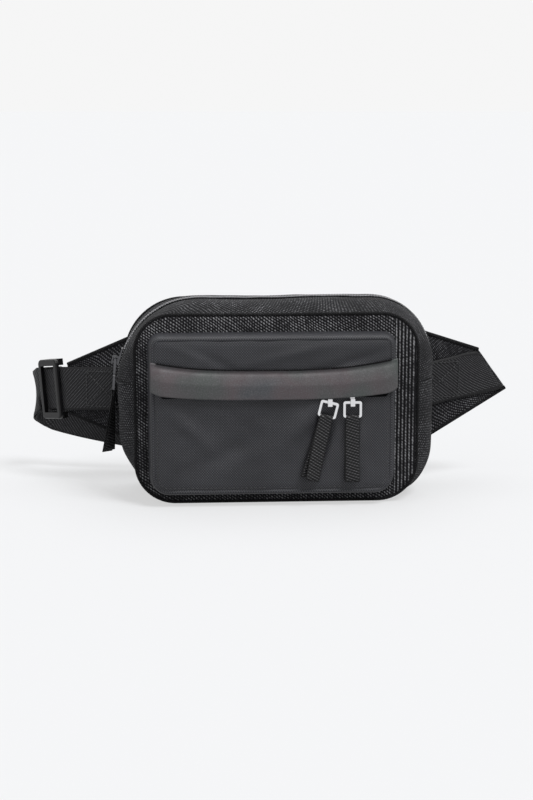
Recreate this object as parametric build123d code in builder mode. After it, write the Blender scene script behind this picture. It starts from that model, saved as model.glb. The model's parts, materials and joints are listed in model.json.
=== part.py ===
from build123d import *
from collections import namedtuple
from math import cos, sin, radians
import os

# A waist bag for a belt round the hips: a zipped main compartment, a zipped
# front pocket under a reflective storm band, two side wings, and a webbing belt
# that closes behind the bag with a side-release buckle.
# Millimetres. +X is to the right seen from the front, +Y goes to the back, +Z is
# up, and the origin is the middle of the bag's underside on its resting plane.

# ---- driving dimensions: main compartment ----
Outline = namedtuple(
    "Outline", "left right bottom top corner_left corner_right low_left low_right"
)
front_outline = Outline(-104.5, 109.5, 2.0, 145, 28, 28, 30, 30)
middle_outline = Outline(-118, 125, 0, 154, 65, 50, 56, 40)
rear_outline = Outline(-113, 119, 2.0, 149, 47, 42, 45, 34)
front_y = -40
rear_y = 38
wall = 2.2                    # outer fabric with its foam
panel_thickness = 1.6
piping_radius = 1.5
seam_height = 92              # zip gusset above, bottom gusset below
lining_gap = 3.8              # from the outer skin to the lining
lining_thickness = 0.7
panel_gap = 0.3               # lining to front and back panel
padding_thickness = 6
padding_margin = 20
fit_gap = 0.3

# ---- driving dimensions: main zip ----
zip_tape_half = 12
zip_tape_thickness = 1.0
tooth_half = 3.2
tooth_thickness = 2.4
tooth_slot_half = 1.0
zip_stop_length = 2.5
slider_length = 13
slider_width = 10
slider_plate = 1.2
slider_clearance = 0.5
slider_post_half = 0.7
main_slider_angle = 17        # place of the slider on the corner arc at rest
end_tab_height = 6
end_tab_thickness = 1.0

# ---- driving dimensions: front pocket ----
pocket_outline = Outline(-94, 91, 9, 131, 9, 9, 15, 15)
pocket_depth = 14
pocket_inset = 3
pocket_wall = 1.2
pocket_zip_height = 89
pocket_zip_half = 5
pocket_tooth_half = 2.7
pocket_tape_thickness = 0.8
pocket_slider_width = 9
pocket_slider_xs = (41, 58)
band_top = 102.5
band_bottom = 83.5
band_left = -93
band_right = 92
band_thickness = 0.9
band_flat = 4
band_standoff = 4.3

# ---- driving dimensions: zip pulls ----
pull_width = 14
pull_length = 12.5
pull_thickness = 1.8
pull_bar = 2.0
pull_low_bar = 1.6
pull_side = 1.8
pull_hole_corner = 0.4
main_pull_neck = 12
neck_width = 8
neck_side = 1.5
neck_hole = 6
eye_width = 3.4
eye_slot_depth = 3.0
eye_slot_height = 3.6
eye_wall = 1.0
ribbon_width = 10
ribbon_length = 50
ribbon_thickness = 0.8
ribbon_clearance = 0.55       # round the bar that the ribbon swings on
left_pull_lean = 14
main_pull_lean = 4
main_ribbon_lean = 4

# ---- driving dimensions: wings and belt ----
wing_sweep = 18
wing_thickness = 2.6
wing_depth = 28               # how far back the wings leave the bag
left_wing_points = ((0, 39.6), (0, 118), (46.5, 95.5), (46.5, 57))
right_wing_points = ((0, 33), (0, 123), (52.5, 104.5), (78, 72))
web_width = 35
web_thickness = 1.5
web_start = 6                 # from the wing's root to the sewn webbing end
layer_gap = 0.7
turn_radius = 14

# ---- driving dimensions: tri-glide ----
glide_length = 27
glide_height = 48
glide_slot = 37.5
glide_rail = 4
glide_rail_thickness = 3.2
glide_bar_width = 4.4
glide_bar_thickness = 2.4
glide_gap = 0.35

# ---- driving dimensions: buckle ----
buckle_x = 10                 # where socket and plug meet
buckle_y = 75.5
buckle_height = 48
buckle_thickness = 12
socket_length = 38
plug_length = 18
buckle_shell = 2.2
buckle_side_wall = 4.5
bar_width = 3.4
bar_thickness = 3
bar_slot = 2.6
bar_slot_half = 18.5
guide_half = 3
guide_length = 12
prong_length = 26.5
prong_arm = 4.5
prong_inner = 9
prong_half_thickness = 3
window_length = 13
window_start = 13


def draw_outline(shape, inset):
    """Closed rounded outline in the plane of the sketch, drawn in from its edge."""
    left = shape.left + inset
    right = shape.right - inset
    top = shape.top - inset
    bottom = shape.bottom + inset
    left_r = shape.corner_left - inset
    right_r = shape.corner_right - inset
    low_left_r = shape.low_left - inset
    low_right_r = shape.low_right - inset
    with BuildLine() as line:
        top_edge = Line((left + left_r, top), (right - right_r, top))
        right_corner = JernArc(top_edge @ 1, (1, 0), right_r, -90)
        right_edge = Line(right_corner @ 1, (right, bottom + low_right_r))
        low_right = JernArc(right_edge @ 1, (0, -1), low_right_r, -90)
        bottom_edge = Line(low_right @ 1, (left + low_left_r, bottom))
        low_left = JernArc(bottom_edge @ 1, (-1, 0), low_left_r, -90)
        left_edge = Line(low_left @ 1, (left, top - left_r))
        JernArc(left_edge @ 1, (0, 1), left_r, -90)
    make_face(line.edges())


def tapered_block(y_a, shape_a, y_b, shape_b, inset=0, mode=Mode.ADD):
    """Block between two outlines that stand at two depths."""
    with BuildSketch(Plane.XZ.offset(-y_a)) as near:
        draw_outline(shape_a, inset)
    with BuildSketch(Plane.XZ.offset(-y_b)) as far_side:
        draw_outline(shape_b, inset)
    loft([near.sketch, far_side.sketch], ruled=True, mode=mode)


def slab(y_a, y_b, shape, inset=0, mode=Mode.ADD):
    """Plate of one outline between two depths."""
    with BuildSketch(Plane.XZ.offset(-y_b)) as profile:
        draw_outline(shape, inset)
    extrude(profile.sketch, amount=y_b - y_a, mode=mode)


def block(x_a, x_b, y_a, y_b, z_a, z_b, mode=Mode.ADD):
    """Plain block between two corners."""
    with Locations(((x_a + x_b) / 2, (y_a + y_b) / 2, (z_a + z_b) / 2)):
        Box(x_b - x_a, y_b - y_a, z_b - z_a, mode=mode)


def blend_outline(shape_a, shape_b, share):
    """Outline part of the way from one outline to another."""
    return Outline(*(a + (b - a) * share for a, b in zip(shape_a, shape_b)))


def finish(builder, label):
    """Name a finished sub-part and write it out."""
    builder.part.label = label
    export_step(builder.part, f"parts/{label}.step")


os.makedirs("parts", exist_ok=True)

strip_y = front_y + panel_thickness
back_strip_y = rear_y - panel_thickness
far = 400                     # reach of cutting blocks, past every edge

# ---- panels ----
with BuildPart() as front_panel:
    slab(front_y, strip_y, front_outline, piping_radius)
finish(front_panel, "front_panel")

with BuildPart() as back_panel:
    slab(back_strip_y, rear_y, rear_outline, piping_radius)
finish(back_panel, "back_panel")

padding_outline = Outline(
    rear_outline.left + padding_margin,
    rear_outline.right - padding_margin,
    rear_outline.bottom + padding_margin / 2,
    rear_outline.top - padding_margin * 0.75,
    rear_outline.corner_left - padding_margin,
    rear_outline.corner_right - padding_margin,
    rear_outline.low_left - padding_margin / 2,
    rear_outline.low_right - padding_margin / 2,
)
with BuildPart() as back_padding:
    slab(rear_y, rear_y + padding_thickness, padding_outline)
    rim = back_padding.faces().sort_by(Axis.Y)[-1].edges()
    fillet(rim, padding_thickness * 0.6)
finish(back_padding, "back_padding")

# ---- gusset: two strips beside the zip, and one bottom piece ----
with BuildPart() as gusset_front_strip:
    tapered_block(strip_y, front_outline, -zip_tape_half, middle_outline)
    tapered_block(strip_y, front_outline, -zip_tape_half, middle_outline, wall, Mode.SUBTRACT)
    block(-far, far, -far, far, -far, seam_height, Mode.SUBTRACT)
finish(gusset_front_strip, "gusset_front_strip")

with BuildPart() as gusset_rear_strip:
    tapered_block(zip_tape_half, middle_outline, back_strip_y, rear_outline)
    tapered_block(zip_tape_half, middle_outline, back_strip_y, rear_outline, wall, Mode.SUBTRACT)
    block(-far, far, -far, far, -far, seam_height, Mode.SUBTRACT)
finish(gusset_rear_strip, "gusset_rear_strip")

with BuildPart() as bottom_gusset:
    for inset, mode in ((0, Mode.ADD), (wall, Mode.SUBTRACT)):
        tapered_block(strip_y, front_outline, -zip_tape_half, middle_outline, inset, mode)
        slab(-zip_tape_half, zip_tape_half, middle_outline, inset, mode)
        tapered_block(zip_tape_half, middle_outline, back_strip_y, rear_outline, inset, mode)
    block(-far, far, -far, far, seam_height, far, Mode.SUBTRACT)
finish(bottom_gusset, "bottom_gusset")

# ---- piping round both seams ----
for label, y_middle, shape in (
    ("front_piping", front_y, front_outline),
    ("rear_piping", rear_y, rear_outline),
):
    inward = strip_y - front_y if y_middle < 0 else back_strip_y - rear_y
    with BuildPart() as piping:
        slab(y_middle - piping_radius, y_middle + piping_radius, shape, -piping_radius)
        slab(y_middle - piping_radius, y_middle + piping_radius, shape, piping_radius, Mode.SUBTRACT)
        fillet(piping.edges().filter_by(GeomType.CIRCLE) + piping.edges().filter_by(GeomType.LINE)
               .filter_by(Plane.XZ), piping_radius * 0.6)
    finish(piping, label)

# ---- main zip ----
tape_inset = (wall - zip_tape_thickness) / 2
tooth_inset = wall / 2 - tooth_thickness / 2
with BuildPart() as main_zip_tape:
    for side in (-1, 1):
        y_a, y_b = sorted((side * tooth_half, side * zip_tape_half))
        slab(y_a, y_b, middle_outline, tape_inset)
        slab(y_a, y_b, middle_outline, tape_inset + zip_tape_thickness, Mode.SUBTRACT)
    block(-far, far, -far, far, -far, seam_height, Mode.SUBTRACT)
finish(main_zip_tape, "main_zip_tape")

with BuildPart() as main_zip_teeth:
    for side in (-1, 1):
        y_a, y_b = sorted((side * tooth_slot_half, side * tooth_half))
        slab(y_a, y_b, middle_outline, tooth_inset)
        slab(y_a, y_b, middle_outline, tooth_inset + tooth_thickness, Mode.SUBTRACT)
    block(-far, far, -far, far, -far, seam_height + zip_stop_length, Mode.SUBTRACT)
finish(main_zip_teeth, "main_zip_teeth")

with BuildPart() as main_zip_stops:
    slab(-tooth_half, tooth_half, middle_outline, tooth_inset)
    slab(-tooth_half, tooth_half, middle_outline, tooth_inset + tooth_thickness, Mode.SUBTRACT)
    block(-far, far, -far, far, -far, seam_height, Mode.SUBTRACT)
    block(-far, far, -far, far, seam_height + zip_stop_length, far, Mode.SUBTRACT)
finish(main_zip_stops, "main_zip_stops")

with BuildPart() as zip_end_tabs:
    for x_edge, side in ((middle_outline.left, -1), (middle_outline.right, 1)):
        x_a, x_b = sorted((x_edge, x_edge + side * end_tab_thickness))
        block(x_a, x_b, -zip_tape_half, zip_tape_half, seam_height - end_tab_height, seam_height)
finish(zip_end_tabs, "zip_end_tabs")

# ---- lining of the main compartment, open along the zip ----
lining_front = strip_y + panel_gap
lining_back = back_strip_y - panel_gap
with BuildPart() as main_lining:
    for extra, mode in ((0, Mode.ADD), (lining_thickness, Mode.SUBTRACT)):
        inset = lining_gap + extra
        tapered_block(lining_front + extra, front_outline, -zip_tape_half, middle_outline, inset, mode)
        slab(-zip_tape_half, zip_tape_half, middle_outline, inset, mode)
        tapered_block(zip_tape_half, middle_outline, lining_back - extra, rear_outline, inset, mode)
    block(-far, far, -zip_tape_half, zip_tape_half, seam_height, far, Mode.SUBTRACT)
finish(main_lining, "main_lining")

# ---- front pocket ----
pocket_face = front_y - pocket_depth
pocket_back = pocket_face + pocket_wall
pocket_front = Outline(
    pocket_outline.left + pocket_inset,
    pocket_outline.right - pocket_inset,
    pocket_outline.bottom + pocket_inset,
    pocket_outline.top - pocket_inset,
    pocket_outline.corner_left,
    pocket_outline.corner_right,
    pocket_outline.low_left,
    pocket_outline.low_right,
)
with BuildPart() as pocket_gusset:
    tapered_block(pocket_back, pocket_front, front_y, pocket_outline)
    tapered_block(pocket_back, pocket_front, front_y, pocket_outline, pocket_wall, Mode.SUBTRACT)
finish(pocket_gusset, "pocket_gusset")

pocket_zip_low = pocket_zip_height - pocket_zip_half
pocket_zip_high = pocket_zip_height + pocket_zip_half
with BuildPart() as pocket_lower_panel:
    slab(pocket_face, pocket_back, pocket_front)
    block(-far, far, -far, far, pocket_zip_low, far, Mode.SUBTRACT)
finish(pocket_lower_panel, "pocket_lower_panel")

with BuildPart() as pocket_upper_panel:
    slab(pocket_face, pocket_back, pocket_front)
    block(-far, far, -far, far, -far, pocket_zip_high, Mode.SUBTRACT)
finish(pocket_upper_panel, "pocket_upper_panel")

pocket_zip_y = pocket_face + pocket_wall / 2
tape_y = (pocket_zip_y - pocket_tape_thickness / 2, pocket_zip_y + pocket_tape_thickness / 2)
tooth_y = (pocket_zip_y - tooth_thickness / 2, pocket_zip_y + tooth_thickness / 2)
with BuildPart() as pocket_zip_tape:
    for side in (-1, 1):
        z_a, z_b = sorted((side * pocket_tooth_half, side * pocket_zip_half))
        block(pocket_front.left, pocket_front.right, *tape_y,
              pocket_zip_height + z_a, pocket_zip_height + z_b)
finish(pocket_zip_tape, "pocket_zip_tape")

tooth_left = pocket_front.left + pocket_wall + zip_stop_length
tooth_right = pocket_front.right - pocket_wall - zip_stop_length
with BuildPart() as pocket_zip_teeth:
    for side in (-1, 1):
        z_a, z_b = sorted((side * tooth_slot_half, side * pocket_tooth_half))
        block(tooth_left, tooth_right, *tooth_y,
              pocket_zip_height + z_a, pocket_zip_height + z_b)
finish(pocket_zip_teeth, "pocket_zip_teeth")

with BuildPart() as pocket_zip_stops:
    for x_a in (tooth_left - zip_stop_length, tooth_right):
        block(x_a, x_a + zip_stop_length, pocket_zip_y - tooth_thickness / 2, pocket_back,
              pocket_zip_height - pocket_tooth_half, pocket_zip_height + pocket_tooth_half)
finish(pocket_zip_stops, "pocket_zip_stops")

# ---- storm band: sewn along its top, hanging clear of the zip ----
band_profile = (
    (pocket_face, band_top),
    (pocket_face, band_top - band_flat),
    (pocket_face - band_standoff, pocket_zip_high + fit_gap),
    (pocket_face - band_standoff, band_bottom),
    (pocket_face - band_standoff - band_thickness, band_bottom),
    (pocket_face - band_standoff - band_thickness, pocket_zip_high + fit_gap + band_thickness / 2),
    (pocket_face - band_thickness, band_top - band_flat + band_thickness / 2),
    (pocket_face - band_thickness, band_top),
)
with BuildPart() as storm_band:
    with BuildSketch(Plane.YZ.offset(band_left)):
        with BuildLine():
            Polyline(*band_profile, close=True)
        make_face()
    extrude(amount=band_right - band_left)
finish(storm_band, "storm_band")


# ---- zip sliders and pulls ----
def pull_frame(plane, neck):
    """Flat metal pull in a plane (y up, z out): its top bar is centred on the pivot."""
    frame_top = pull_bar / 2 - neck
    frame_low = frame_top - pull_length
    with BuildSketch(plane) as profile:
        with Locations((0, (frame_top + frame_low) / 2)):
            RectangleRounded(pull_width, pull_length, pull_side)
        hole_low = frame_low + pull_low_bar
        hole_top = frame_top - pull_bar
        with Locations((0, (hole_low + hole_top) / 2)):
            RectangleRounded(
                pull_width - 2 * pull_side, hole_top - hole_low, pull_hole_corner, mode=Mode.SUBTRACT
            )
        if neck > 0:
            with Locations((0, -neck / 2)):
                Rectangle(neck_width, neck + pull_bar)
            with Locations((0, -pull_bar / 2 - neck_hole / 2)):
                Rectangle(neck_width - 2 * neck_side, neck_hole, mode=Mode.SUBTRACT)
    extrude(profile.sketch, amount=pull_thickness / 2, both=True)
    return frame_low + pull_low_bar / 2


loop_half = pull_thickness / 2 + ribbon_clearance


def ribbon_loop():
    """Folded ribbon in the active plane (y up, z out) round a bar at the origin."""
    outer = loop_half + ribbon_thickness
    loop_low = -5
    with Locations((0, (outer + loop_low) / 2, 0)):
        Box(ribbon_width, outer - loop_low, 2 * outer)
    with Locations((0, (loop_half + loop_low) / 2, 0)):
        Box(ribbon_width, loop_half - loop_low, 2 * loop_half, mode=Mode.SUBTRACT)
    with Locations((0, (loop_low - ribbon_length) / 2, 0)):
        Box(ribbon_width, ribbon_length + loop_low, 2 * ribbon_thickness)
    with Locations((0, loop_low - ribbon_thickness / 2, 0)):
        Box(ribbon_width, ribbon_thickness, 2 * outer)


plate_z = tooth_thickness / 2 + slider_clearance
eye_height = eye_slot_height + 2 * eye_wall
eye_depth = eye_slot_depth + 2 * eye_wall
low_bar_drop = pull_length - pull_bar / 2 - pull_low_bar / 2

# main slider: x along the zip (up the side), y across it, z out of the bag
arc_radius = middle_outline.corner_left - wall / 2
arc_x = middle_outline.left + middle_outline.corner_left
arc_z = middle_outline.top - middle_outline.corner_left
tilt = radians(main_slider_angle)
slider_out = Vector(-cos(tilt), 0, sin(tilt))
slider_up = Vector(sin(tilt), 0, cos(tilt))
slider_point = Vector(arc_x, 0, arc_z) + slider_out * arc_radius
slider_plane = Plane(origin=slider_point, x_dir=slider_up, z_dir=slider_out)
eye_x = -3.4
eye_z = plate_z + slider_plate + eye_slot_height / 2 + eye_wall / 2
with BuildPart(slider_plane) as main_slider:
    for side in (-1, 1):
        with Locations((0, 0, side * (plate_z + slider_plate / 2))):
            Box(slider_length, slider_width, slider_plate)
    Box(2 * slider_post_half, 2 * slider_post_half, 2 * plate_z)
    with Locations((eye_x, 0, eye_z)):
        Box(eye_height, eye_width, eye_depth)
    with Locations((eye_x, 0, eye_z)):
        Box(eye_slot_height, eye_width, eye_slot_depth, mode=Mode.SUBTRACT)
finish(main_slider, "main_slider")

lean = radians(main_pull_lean)
main_pivot = slider_point + slider_up * eye_x + slider_out * eye_z
pull_out = Vector(-cos(lean), 0, sin(lean))
pull_plane = Plane(origin=main_pivot, x_dir=(0, -1, 0), z_dir=pull_out)
with BuildPart(pull_plane) as main_pull_ring:
    main_low_bar = pull_frame(pull_plane, main_pull_neck)
finish(main_pull_ring, "main_pull_ring")

ribbon_lean = radians(main_ribbon_lean)
main_ribbon_pivot = main_pivot + Vector(sin(lean), 0, cos(lean)) * main_low_bar
ribbon_plane = Plane(
    origin=main_ribbon_pivot, x_dir=(0, -1, 0), z_dir=(-cos(ribbon_lean), 0, sin(ribbon_lean))
)
with BuildPart(ribbon_plane) as main_pull_ribbon:
    ribbon_loop()
finish(main_pull_ribbon, "main_pull_ribbon")

# pocket sliders: the eye hangs below the storm band's edge
pivot_y = pocket_face - 3.4
pivot_z = band_bottom - fit_gap - eye_wall - eye_slot_height / 2
slider_face = pocket_zip_y - plate_z - slider_plate
for side_name, slider_x, lean_degrees in (
    ("left", pocket_slider_xs[0], left_pull_lean),
    ("right", pocket_slider_xs[1], 0),
):
    with BuildPart() as pocket_slider:
        for side in (-1, 1):
            plate_middle = pocket_zip_y + side * (plate_z + slider_plate / 2)
            with Locations((slider_x, plate_middle, pocket_zip_height)):
                Box(slider_length, slider_plate, pocket_slider_width)
        with Locations((slider_x, pocket_zip_y, pocket_zip_height)):
            Box(2 * slider_post_half, 2 * plate_z, 2 * slider_post_half)
        block(slider_x - eye_width / 2, slider_x + eye_width / 2, slider_face, slider_face + slider_plate,
              pivot_z, pocket_zip_height)
        with Locations((slider_x, pivot_y, pivot_z)):
            Box(eye_width, eye_depth, eye_height)
        with Locations((slider_x, pivot_y, pivot_z)):
            Box(eye_width, eye_slot_depth, eye_slot_height, mode=Mode.SUBTRACT)
    finish(pocket_slider, f"pocket_slider_{side_name}")

    lean = radians(lean_degrees)
    bar_direction = Vector(cos(lean), 0, -sin(lean))
    pivot = Vector(slider_x, pivot_y, pivot_z)
    ring_plane = Plane(origin=pivot, x_dir=bar_direction, z_dir=(0, -1, 0))
    with BuildPart(ring_plane) as pocket_ring:
        low_bar = pull_frame(ring_plane, 0)
    finish(pocket_ring, f"pocket_ring_{side_name}")

    low_pivot = pivot + Vector(sin(lean), 0, cos(lean)) * low_bar
    with BuildPart(Plane(origin=low_pivot, x_dir=bar_direction, z_dir=(0, -1, 0))) as pocket_ribbon:
        ribbon_loop()
    finish(pocket_ribbon, f"pocket_ribbon_{side_name}")


# ---- wings ----
def gusset_x(side, depth):
    """Outer edge of the rear gusset strip at one depth."""
    share = (depth - zip_tape_half) / (rear_y - zip_tape_half)
    shape = blend_outline(middle_outline, rear_outline, share)
    return shape.left if side < 0 else shape.right


sweep = radians(wing_sweep)
wing_frames = {}
for label, side, points in (
    ("left_wing", -1, left_wing_points),
    ("right_wing", 1, right_wing_points),
):
    root = Vector(gusset_x(side, wing_depth) + side * fit_gap, wing_depth, 0)
    along = Vector(side * cos(sweep), sin(sweep), 0)
    outward = Vector(side * sin(sweep), -cos(sweep), 0)
    wing_frames[side] = (root, along, outward)
    with BuildPart() as wing:
        with BuildSketch(Plane(origin=root, x_dir=along, z_dir=along.cross(Vector(0, 0, 1)))):
            with BuildLine():
                Polyline(*points, close=True)
            make_face()
        extrude(amount=-side * wing_thickness)
    finish(wing, label)


# ---- belt webbing ----
def flat_face(points):
    """Flat face with straight edges through points."""
    return Face(Wire.make_polygon(points, close=True))


def strap(sections):
    """Flat webbing of flat facets through sections of (centre, up, side, width)."""
    rings = []
    for centre, up, side, width in sections:
        half_up = up * (width / 2)
        half_side = side * (web_thickness / 2)
        corners = ((1, 1), (1, -1), (-1, -1), (-1, 1))
        rings.append([centre + half_up * a + half_side * b for a, b in corners])
    faces = [flat_face(rings[0]), flat_face(rings[-1])]
    for ring, after in zip(rings, rings[1:]):
        for corner in range(4):
            following = (corner + 1) % 4
            # both broad faces are split along the same diagonal, so layers nest
            near, other = (following, corner) if corner == 3 else (corner, following)
            faces.append(flat_face([ring[near], ring[other], after[other]]))
            faces.append(flat_face([ring[near], after[other], after[near]]))
    add(Solid(Shell(faces)))


def upright_sections(points, shift, turn=1):
    """Webbing on edge along points, shifted to the inside of its turn (1 right, -1 left)."""
    sections = []
    for index, point in enumerate(points):
        before = points[max(index - 1, 0)]
        after = points[min(index + 1, len(points) - 1)]
        heading = (after - before).normalized()
        side = heading.cross(Vector(0, 0, turn)).normalized()
        up = side.cross(heading) * turn
        sections.append((point + side * shift, up, side, web_width))
    return sections


def on_wing(side, distance, height, rise):
    """Point in front of a wing's face."""
    root, along, outward = wing_frames[side]
    return root + along * distance + outward * rise + Vector(0, 0, height)


web_rise = web_thickness / 2 + 0.05
glide_heading = radians(126)
glide_drop = radians(8)
glide_along = Vector(
    cos(glide_heading) * cos(glide_drop), sin(glide_heading) * cos(glide_drop), -sin(glide_drop)
)
glide_side = glide_along.cross(Vector(0, 0, 1)).normalized()
wing_tip = on_wing(-1, left_wing_points[2][0] + 1, 76.3, web_rise)
glide_centre = wing_tip + glide_along * (glide_length / 2 + 6)
run_end = 22                  # straight webbing past the tri-glide's middle

left_run = [
    on_wing(-1, web_start, 78, web_rise),
    on_wing(-1, (web_start + left_wing_points[2][0]) / 2, 77.2, web_rise),
    wing_tip,
    wing_tip + glide_along * 2.5,
    glide_centre + glide_along * run_end,
]
turn_centre = left_run[-1] + glide_side * turn_radius
turn_end_drop = 21
turn_total = 134
turn_steps = 7
turn_points = []
for step in range(1, turn_steps + 1):
    share = step / turn_steps
    heading = glide_heading - radians(turn_total * share)
    turn_points.append(
        Vector(
            turn_centre.X - turn_radius * sin(heading),
            turn_centre.Y + turn_radius * cos(heading),
            left_run[-1].Z - turn_end_drop * share,
        )
    )
middle_z = buckle_height / 2
socket_end = buckle_x - socket_length
plug_end = buckle_x + plug_length
wrap_y = bar_thickness / 2 + fit_gap + web_thickness / 2
wrap_x = bar_width + fit_gap + web_thickness / 2
left_back = [
    Vector(-150, 92.2, 44.5),
    Vector(-125, 88.8, 39.5),
    Vector(-85, 84, 32),
    Vector(-50, 80, 25.5),
]
left_wrap = [
    Vector(socket_end - 4, buckle_y + wrap_y, middle_z),
    Vector(socket_end + bar_width / 2, buckle_y + wrap_y, middle_z),
    Vector(socket_end + wrap_x, buckle_y + wrap_y, middle_z),
    Vector(socket_end + wrap_x, buckle_y - wrap_y, middle_z),
    Vector(socket_end + bar_width / 2, buckle_y - wrap_y, middle_z),
    Vector(socket_end - 1, buckle_y - wrap_y, middle_z),
]
with BuildPart() as left_webbing:
    strap(upright_sections(left_run + turn_points + left_back + left_wrap, 0))
finish(left_webbing, "left_webbing")

return_shift = web_thickness + layer_gap
return_start = glide_centre + glide_along * (glide_length / 2 + 1.5)
return_path = [return_start, left_run[-1]] + turn_points + left_back
with BuildPart() as left_webbing_return:
    sections = upright_sections(return_path, return_shift)
    last_point = left_wrap[-1] - Vector(fit_gap, 0, 0)
    sections.append((last_point, Vector(0, 0, 1), Vector(0, -1, 0), web_width))
    strap(sections)
finish(left_webbing_return, "left_webbing_return")

# right: sewn to the wing, folded back round its slanted tip, then behind the bag
fold_top = right_wing_points[2]
fold_low = right_wing_points[3]
root, along, outward = wing_frames[1]
fold_axis = (along * (fold_top[0] - fold_low[0]) + Vector(0, 0, fold_top[1] - fold_low[1])).normalized()
fold_middle = ((fold_top[0] + fold_low[0]) / 2, (fold_top[1] + fold_low[1]) / 2)
fold_width = 40
fold_reach = 3.2
back_side = outward * -1
front_line = on_wing(1, fold_middle[0] - 1, fold_middle[1], web_rise)
across = fold_axis.cross(back_side).normalized()
start = on_wing(1, web_start, 79, web_rise)
run_heading = (front_line - start).normalized()
run_up = run_heading.cross(back_side)
fold_out = front_line + across * 1.5
right_run = [
    (start, run_up, back_side, web_width),
    ((start + front_line) / 2, run_up, back_side, web_width),
    (fold_out, fold_axis, back_side, fold_width),
    (fold_out + (across + back_side) * fold_reach, fold_axis, across * -1, fold_width),
    (fold_out + back_side * 2 * fold_reach, fold_axis, back_side * -1, fold_width),
]
right_back = [
    right_run[-1][0],
    Vector(150, 62, 76),
    Vector(120, 70, 64),
    Vector(85, 75, 48),
    Vector(60, buckle_y + 1, 32),
    Vector(plug_end + 4, buckle_y + wrap_y, middle_z),
    Vector(plug_end - bar_width / 2, buckle_y + wrap_y, middle_z),
    Vector(plug_end - wrap_x, buckle_y + wrap_y, middle_z),
    Vector(plug_end - wrap_x, buckle_y - wrap_y, middle_z),
    Vector(plug_end - bar_width / 2, buckle_y - wrap_y, middle_z),
    Vector(plug_end + 8, buckle_y - wrap_y, middle_z),
]
with BuildPart() as right_webbing:
    strap(right_run + upright_sections(right_back, 0, -1)[1:])
finish(right_webbing, "right_webbing")

# ---- tri-glide and the webbing end sewn round its middle bar ----
glide_plane = Plane(origin=glide_centre, x_dir=glide_along, z_dir=glide_side * -1)
rail_low = web_thickness / 2 + glide_gap
ply_top = -(web_thickness / 2 + layer_gap)
glide_bar_top = ply_top - web_thickness - fit_gap
glide_bar_low = glide_bar_top - glide_bar_thickness
with BuildPart(glide_plane) as tri_glide:
    with BuildSketch(glide_plane.offset(rail_low)) as rails:
        RectangleRounded(glide_length, glide_height, glide_rail)
        Rectangle(glide_length - 2 * glide_rail, glide_slot, mode=Mode.SUBTRACT)
    extrude(rails.sketch, amount=glide_rail_thickness)
    end_height = (glide_height - glide_slot) / 2
    for side in (-1, 1):
        with Locations((0, side * (glide_slot + end_height) / 2, (rail_low + glide_bar_low) / 2)):
            Box(glide_length - 2 * glide_rail, end_height, rail_low - glide_bar_low)
    with Locations((0, 0, (glide_bar_top + glide_bar_low) / 2)):
        Box(glide_bar_width, glide_slot, glide_bar_thickness)
    front_face = tri_glide.faces().sort_by(Axis(glide_centre, glide_side * -1))[-1]
    fillet(front_face.outer_wire().edges(), glide_rail_thickness * 0.4)
finish(tri_glide, "tri_glide")

loop_back = glide_bar_low - fit_gap - web_thickness
loop_near = glide_bar_width / 2 + fit_gap
loop_far = loop_near + 3
loop_end = glide_length / 2 + 1.5 - fit_gap
with BuildPart(glide_plane) as strap_end_loop:
    with Locations(((loop_far - loop_near) / 2, 0, (ply_top + loop_back) / 2)):
        Box(loop_far + loop_near + 2 * web_thickness, web_width, ply_top - loop_back)
    with Locations(((loop_far - loop_near) / 2, 0, (ply_top + loop_back) / 2)):
        Box(loop_far + loop_near, web_width, ply_top - loop_back - 2 * web_thickness, mode=Mode.SUBTRACT)
    tail_start = loop_far + web_thickness
    with Locations(((tail_start + loop_end) / 2, 0, ply_top - web_thickness)):
        Box(loop_end - tail_start, web_width, 2 * web_thickness)
finish(strap_end_loop, "strap_end_loop")

# ---- side-release buckle behind the bag ----
y_low = buckle_y - buckle_thickness / 2
y_high = buckle_y + buckle_thickness / 2


def bar_end(x_end, inward):
    """Cut the webbing slot and thin the bar at one end of a buckle half."""
    slot_a = x_end + inward * bar_width
    slot_b = slot_a + inward * bar_slot
    z_a = middle_z - bar_slot_half
    z_b = middle_z + bar_slot_half
    block(*sorted((slot_a, slot_b)), y_low, y_high, z_a, z_b, Mode.SUBTRACT)
    for y_a, y_b in ((y_low, buckle_y - bar_thickness / 2), (buckle_y + bar_thickness / 2, y_high)):
        block(*sorted((x_end, slot_a)), y_a, y_b, z_a, z_b, Mode.SUBTRACT)


cavity_half = buckle_height / 2 - buckle_side_wall
cavity_y = buckle_thickness / 2 - buckle_shell
cavity_start = socket_end + bar_width + bar_slot + buckle_shell
window_a = buckle_x - window_start - window_length
window_b = buckle_x - window_start
with BuildPart() as buckle_socket:
    block(socket_end, buckle_x, y_low, y_high, 0, buckle_height)
    fillet(buckle_socket.edges().filter_by(Axis.X), buckle_shell * 0.8)
    block(cavity_start, buckle_x, buckle_y - cavity_y, buckle_y + cavity_y,
          middle_z - cavity_half, middle_z + cavity_half, Mode.SUBTRACT)
    block(window_a, window_b, buckle_y - cavity_y, buckle_y + cavity_y, -far, far, Mode.SUBTRACT)
    bar_end(socket_end, 1)
finish(buckle_socket, "buckle_socket")

plug_face = buckle_x + fit_gap
with BuildPart() as buckle_plug:
    block(plug_face, plug_end, y_low, y_high, 0, buckle_height)
    fillet(buckle_plug.edges().filter_by(Axis.X), buckle_shell * 0.8)
    block(buckle_x - guide_length, plug_face, buckle_y - prong_half_thickness,
          buckle_y + prong_half_thickness, middle_z - guide_half, middle_z + guide_half)
    bar_end(plug_end, -1)
finish(buckle_plug, "buckle_plug")

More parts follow.
